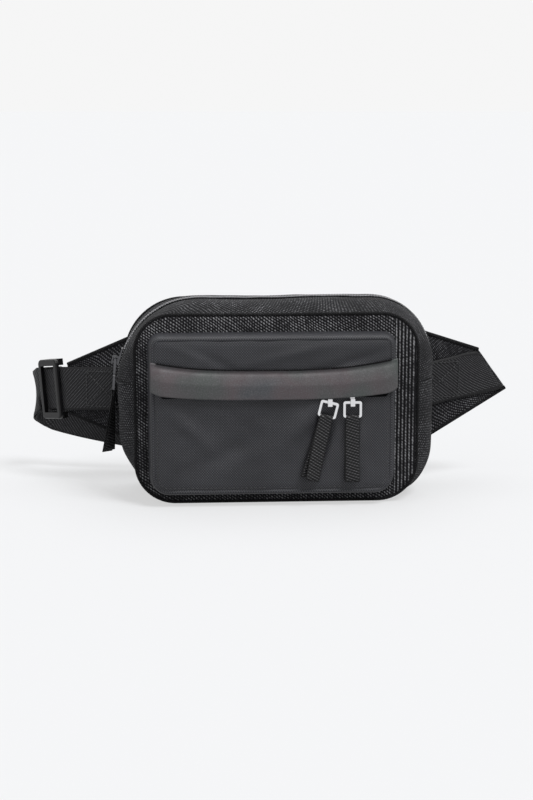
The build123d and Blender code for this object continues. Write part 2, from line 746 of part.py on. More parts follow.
prong_root = prong_arm / 2
prong_root_x = buckle_x - prong_root
prong_tip_x = buckle_x - prong_length
prong_outer = prong_inner + prong_arm
shoulder_x = window_b - fit_gap
shoulder_z = buckle_height / 2 - 0.8
for label, side in (("buckle_prong_upper", 1), ("buckle_prong_lower", -1)):
    prong_points = (
        (prong_root_x, prong_inner),
        (prong_root_x, prong_outer),
        (shoulder_x, prong_outer),
        (shoulder_x, shoulder_z),
        (shoulder_x - 5.5, shoulder_z),
        (prong_tip_x, prong_outer + 1),
        (prong_tip_x, prong_inner),
    )
    with BuildPart() as prong:
        with BuildSketch(Plane.XZ.offset(-buckle_y)):
            with BuildLine():
                Polyline(*[(x, middle_z + side * z) for x, z in prong_points], close=True)
            make_face()
            with Locations((prong_root_x, middle_z + side * (prong_inner + prong_root))):
                Circle(prong_root)
        extrude(amount=prong_half_thickness, both=True)
    finish(prong, label)
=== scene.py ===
import bmesh
import bpy
import json
import math
from collections import namedtuple
from mathutils import Vector, Matrix, noise


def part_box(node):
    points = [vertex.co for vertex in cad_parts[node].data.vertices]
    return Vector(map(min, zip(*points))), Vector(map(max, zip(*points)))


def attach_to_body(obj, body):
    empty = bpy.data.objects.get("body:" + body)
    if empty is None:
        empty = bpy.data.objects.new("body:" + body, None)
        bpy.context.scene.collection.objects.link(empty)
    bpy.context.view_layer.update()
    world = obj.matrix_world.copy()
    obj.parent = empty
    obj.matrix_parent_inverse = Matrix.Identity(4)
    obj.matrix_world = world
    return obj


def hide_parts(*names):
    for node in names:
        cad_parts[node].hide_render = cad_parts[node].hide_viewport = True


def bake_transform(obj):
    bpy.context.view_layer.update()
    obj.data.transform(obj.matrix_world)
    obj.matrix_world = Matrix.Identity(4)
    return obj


# A waist bag standing on a pale floor: the fabric, webbing, ribbons and zip teeth
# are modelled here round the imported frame, and the hard parts are the frame's own.
# Lengths are metres, written as a number of millimetres times MM.

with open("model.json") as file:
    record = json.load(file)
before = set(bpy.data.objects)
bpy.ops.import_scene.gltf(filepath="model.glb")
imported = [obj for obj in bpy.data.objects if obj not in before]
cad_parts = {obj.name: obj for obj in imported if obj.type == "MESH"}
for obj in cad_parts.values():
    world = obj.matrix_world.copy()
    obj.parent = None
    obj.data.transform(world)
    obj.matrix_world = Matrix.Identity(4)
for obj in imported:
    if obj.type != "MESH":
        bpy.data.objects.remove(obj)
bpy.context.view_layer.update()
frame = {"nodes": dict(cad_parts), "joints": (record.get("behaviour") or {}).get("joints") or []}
MM = 0.001

# ---- the bag's outlines, as the frame has them ----
Outline = namedtuple("Outline", "left right bottom top corner_left corner_right low_left low_right")
FRONT = Outline(-104.5, 109.5, 2, 145, 28, 28, 30, 30)
MIDDLE = Outline(-118, 125, 0, 154, 65, 50, 56, 40)
REAR = Outline(-113, 119, 2, 149, 47, 42, 45, 34)
POCKET = Outline(-94, 91, 9, 131, 9, 9, 15, 15)
POCKET_FACE = Outline(POCKET.left + 3, POCKET.right - 3, POCKET.bottom + 3, POCKET.top - 3, 6, 6, 12, 12)
FRONT_Y = -40
REAR_Y = 38
TAPE_HALF = 12
WING_Y = 28                   # where the wings leave the bag
SEAM_HEIGHT = 92              # where the gusset strips meet the bottom gusset
SEAM_TUCK = 0.4               # how far a gusset starts inside its seam
CLOTH = 1.6 * MM              # thickness of the gusset's cloth
POCKET_Y = -54
POCKET_CLOTH_THICK = 1.0 * MM
POCKET_ZIP = 89               # height of the pocket zip's middle line
ZIP_LOW = 84                  # edges of the pocket's two face panels beside the zip
ZIP_HIGH = 94
WEB_THICKNESS = 1.5

# ---- light, as strengths where a white surface lit at 1 shows as white ----
WORLD_LIGHT = 0.30            # what the object gets from the surroundings
BACKDROP = 0.92               # what the camera, metal and clear things see there
FLOOR_GLOW = 0.585            # the floor's own brightness, seen but not lighting anything
Lamp = namedtuple("Lamp", "name towards strength softness")
LAMPS = (
    Lamp("key", (0.7, -0.8, 1.6), 2.1, 22),
    Lamp("fill", (-1.3, -1.0, 0.9), 0.3, 60),
    Lamp("top", (0.1, 0.7, 1.7), 1.1, 50),
)
VIEW_AIM = Vector((-3, 0, 72.7))
VIEW_DISTANCE = 1300
VIEW_RISE = math.radians(10)
VIEW_TURN = math.radians(3.5)  # the camera stands a little to the left


# ---------------------------------------------------------------- materials
class Graph:
    """Small helper that adds and links shader nodes."""

    def __init__(self, name):
        self.material = bpy.data.materials.new(name)
        self.material.use_nodes = True
        self.tree = self.material.node_tree
        self.tree.nodes.clear()
        self.output = self.tree.nodes.new("ShaderNodeOutputMaterial")
        self.shader = self.tree.nodes.new("ShaderNodeBsdfPrincipled")
        self.tree.links.new(self.shader.outputs[0], self.output.inputs[0])

    def set(self, **values):
        for key, value in values.items():
            self.shader.inputs[key.replace("_", " ")].default_value = value

    def link(self, source, target):
        self.tree.links.new(source, target)

    def colour(self, source):
        self.link(source, self.shader.inputs["Base Color"])

    def rough(self, pattern, spread, base):
        """Roughness that wanders with a pattern."""
        self.link(self.plus(self.times(pattern, spread), base), self.shader.inputs["Roughness"])

    def math(self, operation, a, b=None):
        node = self.tree.nodes.new("ShaderNodeMath")
        node.operation = operation
        for index, value in enumerate((a, b)):
            if value is None:
                continue
            if isinstance(value, (int, float)):
                node.inputs[index].default_value = value
            else:
                self.link(value, node.inputs[index])
        return node.outputs[0]

    def times(self, a, b):
        return self.math("MULTIPLY", a, b)

    def plus(self, a, b):
        return self.math("ADD", a, b)

    def minus(self, a, b):
        return self.math("SUBTRACT", a, b)

    def uv(self):
        """Distance along and across the cloth, in metres."""
        node = self.tree.nodes.new("ShaderNodeUVMap")
        split = self.tree.nodes.new("ShaderNodeSeparateXYZ")
        self.link(node.outputs[0], split.inputs[0])
        return split.outputs[0], split.outputs[1]

    def place(self):
        return self.tree.nodes.new("ShaderNodeTexCoord").outputs["Object"]

    def noise(self, scale, detail=2.0, vector=None, roughness=0.5):
        node = self.tree.nodes.new("ShaderNodeTexNoise")
        node.inputs["Scale"].default_value = scale
        node.inputs["Detail"].default_value = detail
        node.inputs["Roughness"].default_value = roughness
        self.link(vector if vector is not None else self.place(), node.inputs["Vector"])
        return node.outputs[0]

    def wave(self, distance, period):
        """0 to 1 sine of a distance."""
        return self.half(self.math("SINE", self.times(distance, 2 * math.pi / period)))

    def half(self, value):
        node = self.tree.nodes.new("ShaderNodeMath")
        node.operation = "MULTIPLY_ADD"
        node.inputs[1].default_value = 0.5
        node.inputs[2].default_value = 0.5
        self.link(value, node.inputs[0])
        return node.outputs[0]

    def ramp(self, value, stops):
        node = self.tree.nodes.new("ShaderNodeValToRGB")
        elements = node.color_ramp.elements
        while len(elements) < len(stops):
            elements.new(0.5)
        for element, (position, colour) in zip(elements, stops):
            element.position = position
            element.color = (*colour, 1)
        self.link(value, node.inputs[0])
        return node.outputs[0]

    def mix(self, share, a, b):
        node = self.tree.nodes.new("ShaderNodeMix")
        node.data_type = "RGBA"
        for socket, value in ((node.inputs[0], share), (node.inputs[6], a), (node.inputs[7], b)):
            if isinstance(value, tuple):
                socket.default_value = (*value, 1)
            elif isinstance(value, (int, float)):
                socket.default_value = value
            else:
                self.link(value, socket)
        return node.outputs[2]

    def bump(self, height, strength, distance):
        node = self.tree.nodes.new("ShaderNodeBump")
        node.inputs["Strength"].default_value = strength
        node.inputs["Distance"].default_value = distance
        self.link(height, node.inputs["Height"])
        self.link(node.outputs[0], self.shader.inputs["Normal"])


def woven(name, period, dark, light, glint_strength=1.0, ridge_from=None):
    """Coarse weave in columns: short slanted threads, with painted highlights on their crowns."""
    g = Graph(name)
    u, v = g.uv()
    wander = g.times(g.noise(45, 2), period * 1.6)
    u_bent = g.plus(u, wander)
    v_bent = g.plus(v, wander)
    column = g.wave(u_bent, period)
    slant = g.wave(g.plus(v_bent, g.times(u_bent, 0.7)), period * 1.15)
    height = g.times(g.plus(g.times(column, 0.7), 0.3), slant)
    if ridge_from is not None:
        region = g.math("GREATER_THAN", u, ridge_from)
        ridge = g.math("POWER", g.wave(u, 2.7 * MM), 1.5)
        ridged = g.times(g.plus(g.times(slant, 0.45), 0.55), ridge)
        rest = g.minus(1.0, region)
        height = g.plus(g.times(height, rest), g.times(ridged, region))
    uneven = g.noise(520, 3)
    patch = g.noise(40, 3)
    # painted highlight: the crowns are coloured lighter in glinting patches, where light would catch them
    crown = g.math("POWER", height, 2.2)
    glint = g.times(crown, g.math("POWER", g.times(uneven, 1.9), 3.0))
    spread = g.math("POWER", g.times(patch, 2.0), 2.0)
    share = g.math("MINIMUM", g.times(g.times(glint, spread), glint_strength), 1.0)
    g.colour(g.mix(share, dark, light))
    g.rough(uneven, 0.2, 0.72)
    g.set(Sheen_Weight=0.02, Sheen_Roughness=0.45, Specular_IOR_Level=0.15)
    g.bump(height, 0.9, 0.45 * MM)
    return g.material


def coated(name):
    """Dark grey coated cloth: fine diagonal rib under a slightly shiny skin, whose glints are painted
    lighter on the rib crossings in cloudy patches.
    """
    g = Graph(name)
    u, v = g.uv()
    rib_a = g.wave(g.plus(u, g.times(v, 0.9)), 1.9 * MM)
    rib_b = g.wave(g.minus(u, g.times(v, 0.9)), 1.9 * MM)
    diamond = g.times(rib_a, rib_b)
    uneven = g.noise(520, 3)
    cloud = g.noise(16, 3)
    # painted highlight: rib crossings, in cloudy patches, are coloured lighter to stand for the skin's
    # glints; the last mix adds a random tone
    crossings = g.plus(g.times(diamond, 1.3), 0.1)
    patches = g.plus(g.times(cloud, 1.3), 0.1)
    share = g.times(crossings, patches)
    colour = g.mix(share, (0.006, 0.0062, 0.008), (0.100, 0.101, 0.113))
    g.colour(g.mix(g.times(cloud, 0.2), colour, (0.022, 0.023, 0.027)))
    g.rough(uneven, 0.16, 0.42)
    g.set(Specular_IOR_Level=0.35)
    g.bump(g.plus(diamond, g.times(uneven, 0.6)), 0.8, 0.2 * MM)
    return g.material


def reflective(name):
    """Grey glass-bead film: smooth, with a faint pink and green iridescence and pale bead specks, painted
    in as its reflection and glints.
    """
    g = Graph(name)
    tone = g.noise(22, 2)
    grain = g.noise(1100, 2)
    # painted reflection: pink and green iridescence laid on by position
    painted_iridescence = g.ramp(tone, ((0.30, (0.046, 0.064, 0.055)), (0.45, (0.060, 0.061, 0.061)),
                          (0.58, (0.084, 0.062, 0.068)), (0.72, (0.056, 0.060, 0.068))))
    # painted highlight: bead glints as pale specks
    bead_glints = g.times(g.math("POWER", g.times(grain, 1.6), 3.0), 0.5)
    g.colour(g.mix(bead_glints, painted_iridescence, (0.13, 0.13, 0.135)))
    g.rough(grain, 0.12, 0.40)
    g.set(Specular_IOR_Level=0.4, Coat_Weight=0.08, Coat_Roughness=0.35)
    g.bump(grain, 0.25, 0.05 * MM)
    return g.material


def twill(name, dark, light, period=2.1 * MM, slope=1.0, bump=0.8, half_width=17.5 * MM):
    """Webbing: diagonal ridges cut into dashes, with a plain selvage at both edges; the ridges' crowns are
    painted lighter as highlights.
    """
    g = Graph(name)
    u, v = g.uv()
    diagonal = g.plus(u, g.times(v, slope))
    ridge = g.math("POWER", g.wave(diagonal, period), 1.3)
    dash = g.wave(g.minus(u, g.times(v, slope)), period * 0.62)
    height = g.times(ridge, g.plus(g.times(dash, 0.55), 0.45))
    edge = g.math("GREATER_THAN", g.math("ABSOLUTE", v), half_width * 0.9)
    rib = g.wave(u, period * 0.5)
    keep = g.minus(1.0, edge)
    selvage = g.times(g.times(rib, edge), 0.35)
    height = g.plus(g.times(height, keep), selvage)
    uneven = g.noise(900, 2)
    # painted highlight: colour lighter on the ridges' crowns and darker in the grooves between them
    share = g.times(g.math("POWER", height, 2.5), g.times(uneven, 1.3))
    g.colour(g.mix(share, dark, light))
    g.rough(uneven, 0.2, 0.5)
    g.set(Sheen_Weight=0.03, Sheen_Roughness=0.4, Specular_IOR_Level=0.25)
    g.bump(height, bump, 0.3 * MM)
    return g.material


def mesh_cloth(name):
    """Air mesh: dark cloth with rows of small round holes, the holes painted darker as their shade."""
    g = Graph(name)
    node = g.tree.nodes.new("ShaderNodeTexVoronoi")
    node.inputs["Scale"].default_value = 420
    g.link(g.place(), node.inputs["Vector"])
    cell = node.outputs["Distance"]
    # painted shade: the holes are not cut, only coloured darker
    hole = g.math("LESS_THAN", cell, 0.36)
    g.colour(g.mix(hole, (0.026, 0.026, 0.029), (0.006, 0.006, 0.007)))
    g.rough(cell, 0.2, 0.7)
    g.set(Sheen_Weight=0.3, Specular_IOR_Level=0.25)
    g.bump(cell, 0.8, 0.4 * MM)
    return g.material


def metal(name, colour, roughness, wear=0.15):
    """Die-cast metal: faintly pitted, with duller patches."""
    g = Graph(name)
    uneven = g.noise(240, 4)
    fine = g.noise(1800, 2)
    g.colour(g.mix(g.times(uneven, wear), colour, tuple(c * 0.5 for c in colour)))
    g.rough(fine, 0.14, roughness)
    g.set(Metallic=1.0)
    g.bump(uneven, 0.12, 0.08 * MM)
    return g.material


def plastic(name):
    """Satin moulded acetal with a fine spark texture and paler worn high spots."""
    g = Graph(name)
    grain = g.noise(1900, 2)
    wear = g.noise(60, 4)
    g.colour(g.mix(g.times(wear, 0.35), (0.0035, 0.0035, 0.004), (0.012, 0.012, 0.013)))
    g.rough(grain, 0.18, 0.26)
    g.set(Specular_IOR_Level=0.28)
    g.bump(grain, 0.2, 0.05 * MM)
    return g.material


def thread(name):
    g = Graph(name)
    twist = g.noise(3000, 2)
    g.colour(g.mix(twist, (0.012, 0.012, 0.013), (0.055, 0.055, 0.058)))
    g.rough(twist, 0.2, 0.45)
    g.set(Sheen_Weight=0.2)
    return g.material


BLACK = (0.0035, 0.0035, 0.0045)
# Each cloth's light colour and glint strength set its painted highlights.
SHELL = woven("shell_weave", 2.0 * MM, BLACK, (0.26, 0.26, 0.275), glint_strength=0.6)
FRONT_SHELL = woven("front_weave", 2.0 * MM, BLACK, (0.34, 0.34, 0.355), glint_strength=1.2, ridge_from=91 * MM)
WING = woven("wing_weave", 2.0 * MM, BLACK, (0.20, 0.20, 0.212), glint_strength=1.1)
PIPE = woven("piping_weave", 1.3 * MM, (0.0025, 0.0025, 0.003), (0.06, 0.06, 0.065), glint_strength=0.6)
TAPE = woven("tape_weave", 0.9 * MM, BLACK, (0.03, 0.03, 0.033), glint_strength=0.6)
LINING = woven("lining_weave", 0.7 * MM, (0.05, 0.05, 0.053), (0.10, 0.10, 0.105), glint_strength=0.5)
POCKET_CLOTH = coated("pocket_cloth")
BAND_FILM = reflective("band_film")
WEBBING = twill("webbing_twill", (0.003, 0.003, 0.0038), (0.20, 0.20, 0.212), 2.8 * MM)
RIBBON = twill("ribbon_rib", (0.003, 0.003, 0.0035), (0.24, 0.24, 0.25), 2.2 * MM, 0.35, 1.0, 5.5 * MM)
BACK_MESH = mesh_cloth("air_mesh")
BRIGHT = metal("polished_zinc", (0.78, 0.78, 0.79), 0.14)
DARK_METAL = metal("dark_zinc", (0.13, 0.13, 0.137), 0.2, 0.9)
COIL = metal("coil", (0.24, 0.24, 0.25), 0.34, 0.9)
PLASTIC = plastic("satin_plastic")
THREAD = thread("stitch_thread")


# ---------------------------------------------------------------- mesh helpers
def at(x, y, z):
    """Point in metres, from millimetres."""
    return Vector((x * MM, y * MM, z * MM))


def new_object(name, points, faces, material, uvs=None, smooth=True):
    """Mesh object; uvs holds one (u, v) for each corner of each face."""
    mesh = bpy.data.meshes.new(name)
    mesh.from_pydata([tuple(p) for p in points], [], faces)
    mesh.update()
    if uvs is not None:
        layer = mesh.uv_layers.new(name="UVMap")
        flat = [value for pair in uvs for value in pair]
        layer.data.foreach_set("uv", flat)
    mesh.materials.append(material)
    if smooth:
        mesh.polygons.foreach_set("use_smooth", [True] * len(mesh.polygons))
    obj = bpy.data.objects.new(name, mesh)
    bpy.context.collection.objects.link(obj)
    return obj


def grid(name, rows, material, loop=False, thickness=0.0, cap=False, offset=-1.0):
    """Surface through rows of points; UVs measure the cloth in metres."""
    count = len(rows[0])
    points = [p for row in rows for p in row]
    us = []
    for row in rows:
        along = [0.0]
        for a, b in zip(row, row[1:]):
            along.append(along[-1] + (b - a).length)
        if loop:
            along.append(along[-1] + (row[0] - row[-1]).length)
        us.append(along)
    vs = [0.0]
    for a, b in zip(rows, rows[1:]):
        middle = count // 2
        vs.append(vs[-1] + (b[middle] - a[middle]).length)
    faces = []
    uvs = []
    last = count if loop else count - 1
    widest = max(us, key=lambda along: along[-1])
    for r in range(len(rows) - 1):
        for c in range(last):
            n = (c + 1) % count
            faces.append((r * count + c, r * count + n, (r + 1) * count + n, (r + 1) * count + c))
            uvs += [(widest[c], vs[r]), (widest[c + 1], vs[r]),
                    (widest[c + 1], vs[r + 1]), (widest[c], vs[r + 1])]
    if cap:
        ring = [(len(rows) - 1) * count + c for c in range(count)]
        faces.append(tuple(ring))
        uvs += [(points[i].x, points[i].z) for i in ring]
    obj = new_object(name, points, faces, material, uvs)
    if thickness:
        solid = obj.modifiers.new("thickness", "SOLIDIFY")
        solid.thickness = thickness
        solid.offset = offset
    return obj


def attach(obj, body, slot, *nodes):
    """Ride on a body and stand for nodes; slot is not used."""
    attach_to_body(obj, body)
    if nodes:
        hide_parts(*nodes)
    return obj


def swell(t):
    """0 to 1, leaving quickly and arriving flat, as stuffed cloth does over an edge."""
    return math.sin(t * math.pi / 2)


def ripple(point, size, amount, seed=0.0):
    """Smooth uneven offset of cloth."""
    q = Vector(point) / size
    q.x += seed
    return (noise.noise(q) + 0.5 * noise.noise(q * 2.1)) * amount


def even_path(points, count):
    """Points spaced evenly along a polyline."""
    lengths = [0.0]
    for a, b in zip(points, points[1:]):
        lengths.append(lengths[-1] + (Vector(b) - Vector(a)).length)
    result = []
    segment = 0
    for i in range(count):
        target = lengths[-1] * i / (count - 1)
        while segment < len(points) - 2 and lengths[segment + 1] < target:
            segment += 1
        span = lengths[segment + 1] - lengths[segment] or 1.0
        share = min(max((target - lengths[segment]) / span, 0.0), 1.0)
        result.append(Vector(points[segment]).lerp(Vector(points[segment + 1]), share))
    return result


def corner(centre_x, centre_z, radius, start, end, steps=24):
    """Arc points, degrees counted from +X towards +Z."""
    angles = [math.radians(start + (end - start) * i / steps) for i in range(steps + 1)]
    return [Vector((centre_x + radius * math.cos(a), centre_z + radius * math.sin(a))) for a in angles]


def upper_path(shape, inset=0.0, side=44, top=64):
    """From the left seam up, over the top and down to the right seam."""
    left, right = shape.left + inset, shape.right - inset
    high = shape.top - inset
    rl, rr = shape.corner_left - inset, shape.corner_right - inset
    left_part = [Vector((left, SEAM_HEIGHT))] + corner(left + rl, high - rl, rl, 180, 90)
    right_part = corner(right - rr, high - rr, rr, 90, 0) + [Vector((right, SEAM_HEIGHT))]
    top_part = [left_part[-1], right_part[0]]
    return (even_path(left_part, side) + even_path(top_part, top)[1:-1]
            + even_path(right_part, side))


def lower_path(shape, inset=0.0, side=44, low=64):
    """From the right seam down, along the bottom and up to the left seam."""
    left, right = shape.left + inset, shape.right - inset
    bottom = shape.bottom + inset
    rl, rr = shape.low_left - inset, shape.low_right - inset
    right_part = [Vector((right, SEAM_HEIGHT))] + corner(right - rr, bottom + rr, rr, 0, -90)
    left_part = corner(left + rl, bottom + rl, rl, -90, -180) + [Vector((left, SEAM_HEIGHT))]
    bottom_part = [right_part[-1], left_part[0]]
    return (even_path(right_part, side) + even_path(bottom_part, low)[1:-1]
            + even_path(left_part, side))


def ring_path(shape, inset=0.0):
    """Whole outline, clockwise from the left seam."""
    return upper_path(shape, inset)[:-1] + lower_path(shape, inset)[:-1]


def whole_ring(shape, inset, count_side=16, count_corner=12):
    """Outline of a small panel with evenly numbered sides and corners."""
    left, right = shape.left + inset, shape.right - inset
    low, high = shape.bottom + inset, shape.top - inset
    rl = max(shape.corner_left - inset, 1.0)
    rr = max(shape.corner_right - inset, 1.0)
    bl = max(shape.low_left - inset, 1.0)
    br = max(shape.low_right - inset, 1.0)
    parts = [
        corner(left + rl, high - rl, rl, 180, 90, count_corner),
        corner(right - rr, high - rr, rr, 90, 0, count_corner),
        corner(right - br, low + br, br, 0, -90, count_corner),
        corner(left + bl, low + bl, bl, -90, -180, count_corner),
    ]
    points = []
    for part, after in zip(parts, parts[1:] + parts[:1]):
        points += part
        points += even_path([part[-1], after[0]], count_side)[1:-1]
    return points


def sag(x, y, z):
    """The roof of the bag dips a little between its corners."""
    height = min(max((z - 120) / 30, 0.0), 1.0)
    across = math.exp(-(((x + 8) / 34) ** 2))
    return 1.3 * height * across * math.exp(-((y / 34) ** 2))


def shell_point(flat, y, out=0.0, seed=0.0):
    """Point of the outer skin in metres, from an outline point in millimetres."""
    x, z = flat
    centre = Vector((0, 74))
    away = (Vector((x, z)) - centre).normalized()
    push = out + ripple((x, y, z), 34, 0.9, seed)
    if z < 8:
        push = min(push, 0.0) * 0.3
    x += away.x * push
    z += away.y * push - sag(x, y, z)
    return at(x, y, max(z, 0.15))


# ---------------------------------------------------------------- the bag's body
def blend_paths(path_a, path_b, share):
    return [a.lerp(b, share) for a, b in zip(path_a, path_b)]


def strip(name, path, shape_a, y_a, shape_b, y_b, nodes, steps=14):
    """Cloth strip from a panel seam to the zip, rounded over its shoulder."""
    path_a, path_b = path(shape_a), path(shape_b)
    rows = []
    for i in range(steps + 1):
        t = i / steps
        y = y_a + (y_b - y_a) * t
        flat = blend_paths(path_a, path_b, swell(t))
        rows.append([shell_point(p, y) for p in flat])
    if y_a > y_b:
        rows.reverse()
    obj = grid(name, rows, SHELL, thickness=CLOTH)
    return attach(obj, "bag", "shell_fabric", *nodes)


def make_gussets():
    front, rear = FRONT_Y + SEAM_TUCK, REAR_Y - SEAM_TUCK
    strip("cloth_gusset_front", upper_path, FRONT, front, MIDDLE, -TAPE_HALF + 1.5, ["gusset_front_strip"])
    strip("cloth_gusset_rear", upper_path, REAR, rear, MIDDLE, TAPE_HALF - 1.5, ["gusset_rear_strip"])
    rows = []
    paths = [lower_path(s) for s in (FRONT, MIDDLE, REAR)]
    for i in range(15):
        t = i / 14
        rows.append([shell_point(p, front + (-TAPE_HALF - front) * t)
                     for p in blend_paths(paths[0], paths[1], swell(t))])
    for y in (-8, -4, 0, 4, 8, 12):
        rows.append([shell_point(p, y) for p in paths[1]])
    for i in range(1, 15):
        t = i / 14
        rows.append([shell_point(p, TAPE_HALF + (rear - TAPE_HALF) * t)
                     for p in blend_paths(paths[2], paths[1], swell(1 - t))])
    obj = grid("cloth_gusset_bottom", rows, SHELL, thickness=CLOTH)
    attach(obj, "bag", "shell_fabric", "bottom_gusset")


def make_panel(name, shape, y, outward, node, bulge, material):
    """Front or back panel: a sheet that crowns a little inside its seam."""
    path = ring_path(shape, 1.0)
    centre = Vector(((shape.left + shape.right) / 2, (shape.top + shape.bottom) / 2))
    rows = []
    for i in range(31):
        s = 1 - i / 31
        row = []
        for p in path:
            q = centre + (p - centre) * s
            crown = bulge * (1 - s ** 6)
            wave = ripple((q.x, y, q.y), 26, 0.8, 5.0) * min(1, (1 - s) * 12)
            row.append(at(q.x, y + outward * (crown + wave), q.y))
        rows.append(row)
    if outward > 0:
        rows = [list(reversed(row)) for row in rows]
    obj = grid(name, rows, material, loop=True, thickness=1.2 * MM, cap=True)
    flat_uvs(obj)
    attach(obj, "bag", "shell_fabric", node)


def flat_uvs(obj):
    """UVs straight from x and z, for a panel that faces the front or the back."""
    layer = obj.data.uv_layers["UVMap"].data
    for loop in obj.data.loops:
        co = obj.data.vertices[loop.vertex_index].co
        layer[loop.index].uv = (co.x, co.z)


def tube(name, centres, radius, material, sides=10, closed=True):
    """Round tube through centres in metres."""
    count = len(centres)
    rows = []
    for i, p in enumerate(centres):
        before = centres[i - 1] if closed or i else p
        after = centres[(i + 1) % count] if closed or i < count - 1 else p
        heading = (after - before).normalized()
        side = heading.cross(Vector((0, 1, 0))).normalized()
        up = side.cross(heading)
        rows.append([p + (side * math.cos(a) + up * math.sin(a)) * radius
                     for a in (2 * math.pi * k / sides for k in range(sides))])
    if closed:
        rows.append(rows[0])
    columns = list(map(list, zip(*rows)))
    columns.append(columns[0])
    return grid(name, columns, material)


def make_piping():
    for name, shape, y, node in (("cord_piping_front", FRONT, FRONT_Y - 0.3, "front_piping"),
                                 ("cord_piping_rear", REAR, REAR_Y + 0.3, "rear_piping")):
        centres = [at(p.x, y, max(p.y, 1.6) - sag(p.x, y, p.y)) for p in ring_path(shape, 0.2)]
        obj = tube(name, centres, 1.45 * MM, PIPE)
        attach(obj, "bag", "piping", node)


# ---------------------------------------------------------------- main zip
def make_main_zip():
    for side in (-1, 1):
        rows = []
        for i in range(5):
            y = side * (1.2 + (TAPE_HALF - 1.2) * i / 4)
            rows.append([shell_point(p, y, 0.1) for p in upper_path(MIDDLE, 0.8)])
        if side > 0:
            rows.reverse()
        name = "zip_tape_front" if side < 0 else "zip_tape_rear"
        obj = grid(name, rows, TAPE, thickness=0.7 * MM, offset=1.0)
        attach(obj, "bag", "zip_tape", *(["main_zip_tape"] if side < 0 else []))
    points, faces = [], []
    path = even_path(upper_path(MIDDLE, 0.0, 90, 150), 300)
    for i in range(1, len(path) - 1):
        base = shell_point(path[i], 0, 0.2)
        ahead = shell_point(path[i + 1], 0, 0.2) - shell_point(path[i - 1], 0, 0.2)
        ahead.normalize()
        out = ahead.cross(Vector((0, 1, 0))).normalized()
        if out.dot(base - Vector((0, 0, 74 * MM))) < 0:
            out = -out
        side = 1 if i % 2 else -1
        add_pill(points, faces, base + Vector((0, side * 1.1 * MM, 0)), ahead, Vector((0, 1, 0)), out,
                 0.62 * MM, 2.1 * MM, 0.85 * MM)
    obj = new_object("zip_teeth_main", points, faces, COIL)
    attach(obj, "bag", "zip_coil", "main_zip_teeth")


PILL_OUTLINE = ((-1, -0.6), (-0.6, -1), (0.6, -1), (1, -0.6), (1, 0.6), (0.6, 1), (-0.6, 1), (-1, 0.6))


def add_pill(points, faces, centre, a, b, c, half_a, half_b, half_c):
    """Small rounded block in three steps, appended to one mesh."""
    start = len(points)
    for share_b, scale in ((-1, 0.55), (-0.7, 1.0), (0.7, 1.0), (1, 0.55)):
        for share_a, share_c in PILL_OUTLINE:
            points.append(centre + a * half_a * share_a * scale + b * half_b * share_b
                          + c * half_c * share_c * scale)
    for ring in range(3):
        for k in range(8):
            n = (k + 1) % 8
            i = start + ring * 8
            faces.append((i + k, i + n, i + 8 + n, i + 8 + k))
    faces.append(tuple(start + k for k in reversed(range(8))))
    faces.append(tuple(start + 24 + k for k in range(8)))


def stitches(name, paths, body, out_of, slot="piping", length=2.1, gap=1.2, radius=0.26):
    """Rows of raised thread along paths given in metres; out_of gives the outward direction."""
    points, faces = [], []
    for path in paths:
        total = sum((b - a).length for a, b in zip(path, path[1:]))
        count = max(int(total / ((length + gap) * MM)), 1)
        even = even_path(path, count * 3 + 1)
        for i in range(count):
            a, b = even[i * 3], even[i * 3 + 2]
            heading = (b - a).normalized()
            out = Vector(out_of(a)).normalized()
            side = heading.cross(out).normalized()
            out = side.cross(heading)
            add_pill(points, faces, (a + b) / 2, side, heading, out,
                     radius * MM, length / 2 * MM, radius * MM)
    obj = new_object(name, points, faces, THREAD)
    return attach(obj, body, slot)


# ---------------------------------------------------------------- front pocket
def lift(x):
    """The pocket's zip and its cover hang lower in the middle than at the seams."""
    return 7.5 * min(abs(x + 4) / 93, 1.05) ** 3 - 0.8


def zip_lift(x):
    """The zip itself runs level over the sliders' travel and rises only past it."""
    share = min(max((abs(x) - 83) / 6, 0.0), 1.0)
    return lift(x) * share * share * (3 - 2 * share)


# A fold's middle, the direction it runs in, its reach along and beside that, and its height.
Fold = namedtuple("Fold", "x z run_x run_z length width height")
FOLDS = (
    Fold(-60, 116, 0.92, -0.38, 24, 3.4, 2.0),
    Fold(-48, 112, 0.92, -0.38, 22, 4.0, -1.8),
    Fold(16, 118, 0.97, 0.22, 30, 3.8, 1.8),
    Fold(60, 112, 0.95, 0.30, 24, 4.2, -1.5),
    Fold(22, 66, 0.62, 0.78, 24, 7.0, 2.2),
    Fold(36, 50, 0.34, 0.94, 24, 5.0, -2.4),
    Fold(66, 58, 0.30, 0.95, 24, 6.0, 1.6),
    Fold(-66, 62, 0.75, -0.66, 24, 6.0, 1.3),
    Fold(-40, 40, 0.85, 0.52, 34, 8.0, -1.2),
)


def crease(x, z):
    """Soft folds of the pocket's face, in millimetres proud of it."""
    total = 0.0
    for fold in FOLDS:
        along = (x - fold.x) * fold.run_x + (z - fold.z) * fold.run_z
        beside = -(x - fold.x) * fold.run_z + (z - fold.z) * fold.run_x
        total += fold.height * math.exp(-(along / fold.length) ** 2 - (beside / fold.width) ** 2)
    return total


def pocket_depth(x, z):
    """y of the pocket's face: crowned, creased and rolled over at its seam."""
    edge = min(x - POCKET_FACE.left, POCKET_FACE.right - x, z - POCKET_FACE.bottom, POCKET_FACE.top - z)
    share = min(max(edge / 7, 0.0), 1.0)
    soft = share * (2 - share)
    wave = ripple((x, 0, z), 24, 1.0, 9.0)
    calm = min(max(edge / 22, 0.0), 1.0)
    return POCKET_Y + 0.7 * (1 - soft) - 0.7 * soft - calm * (crease(x, z) * 1.6 + wave * 1.2)


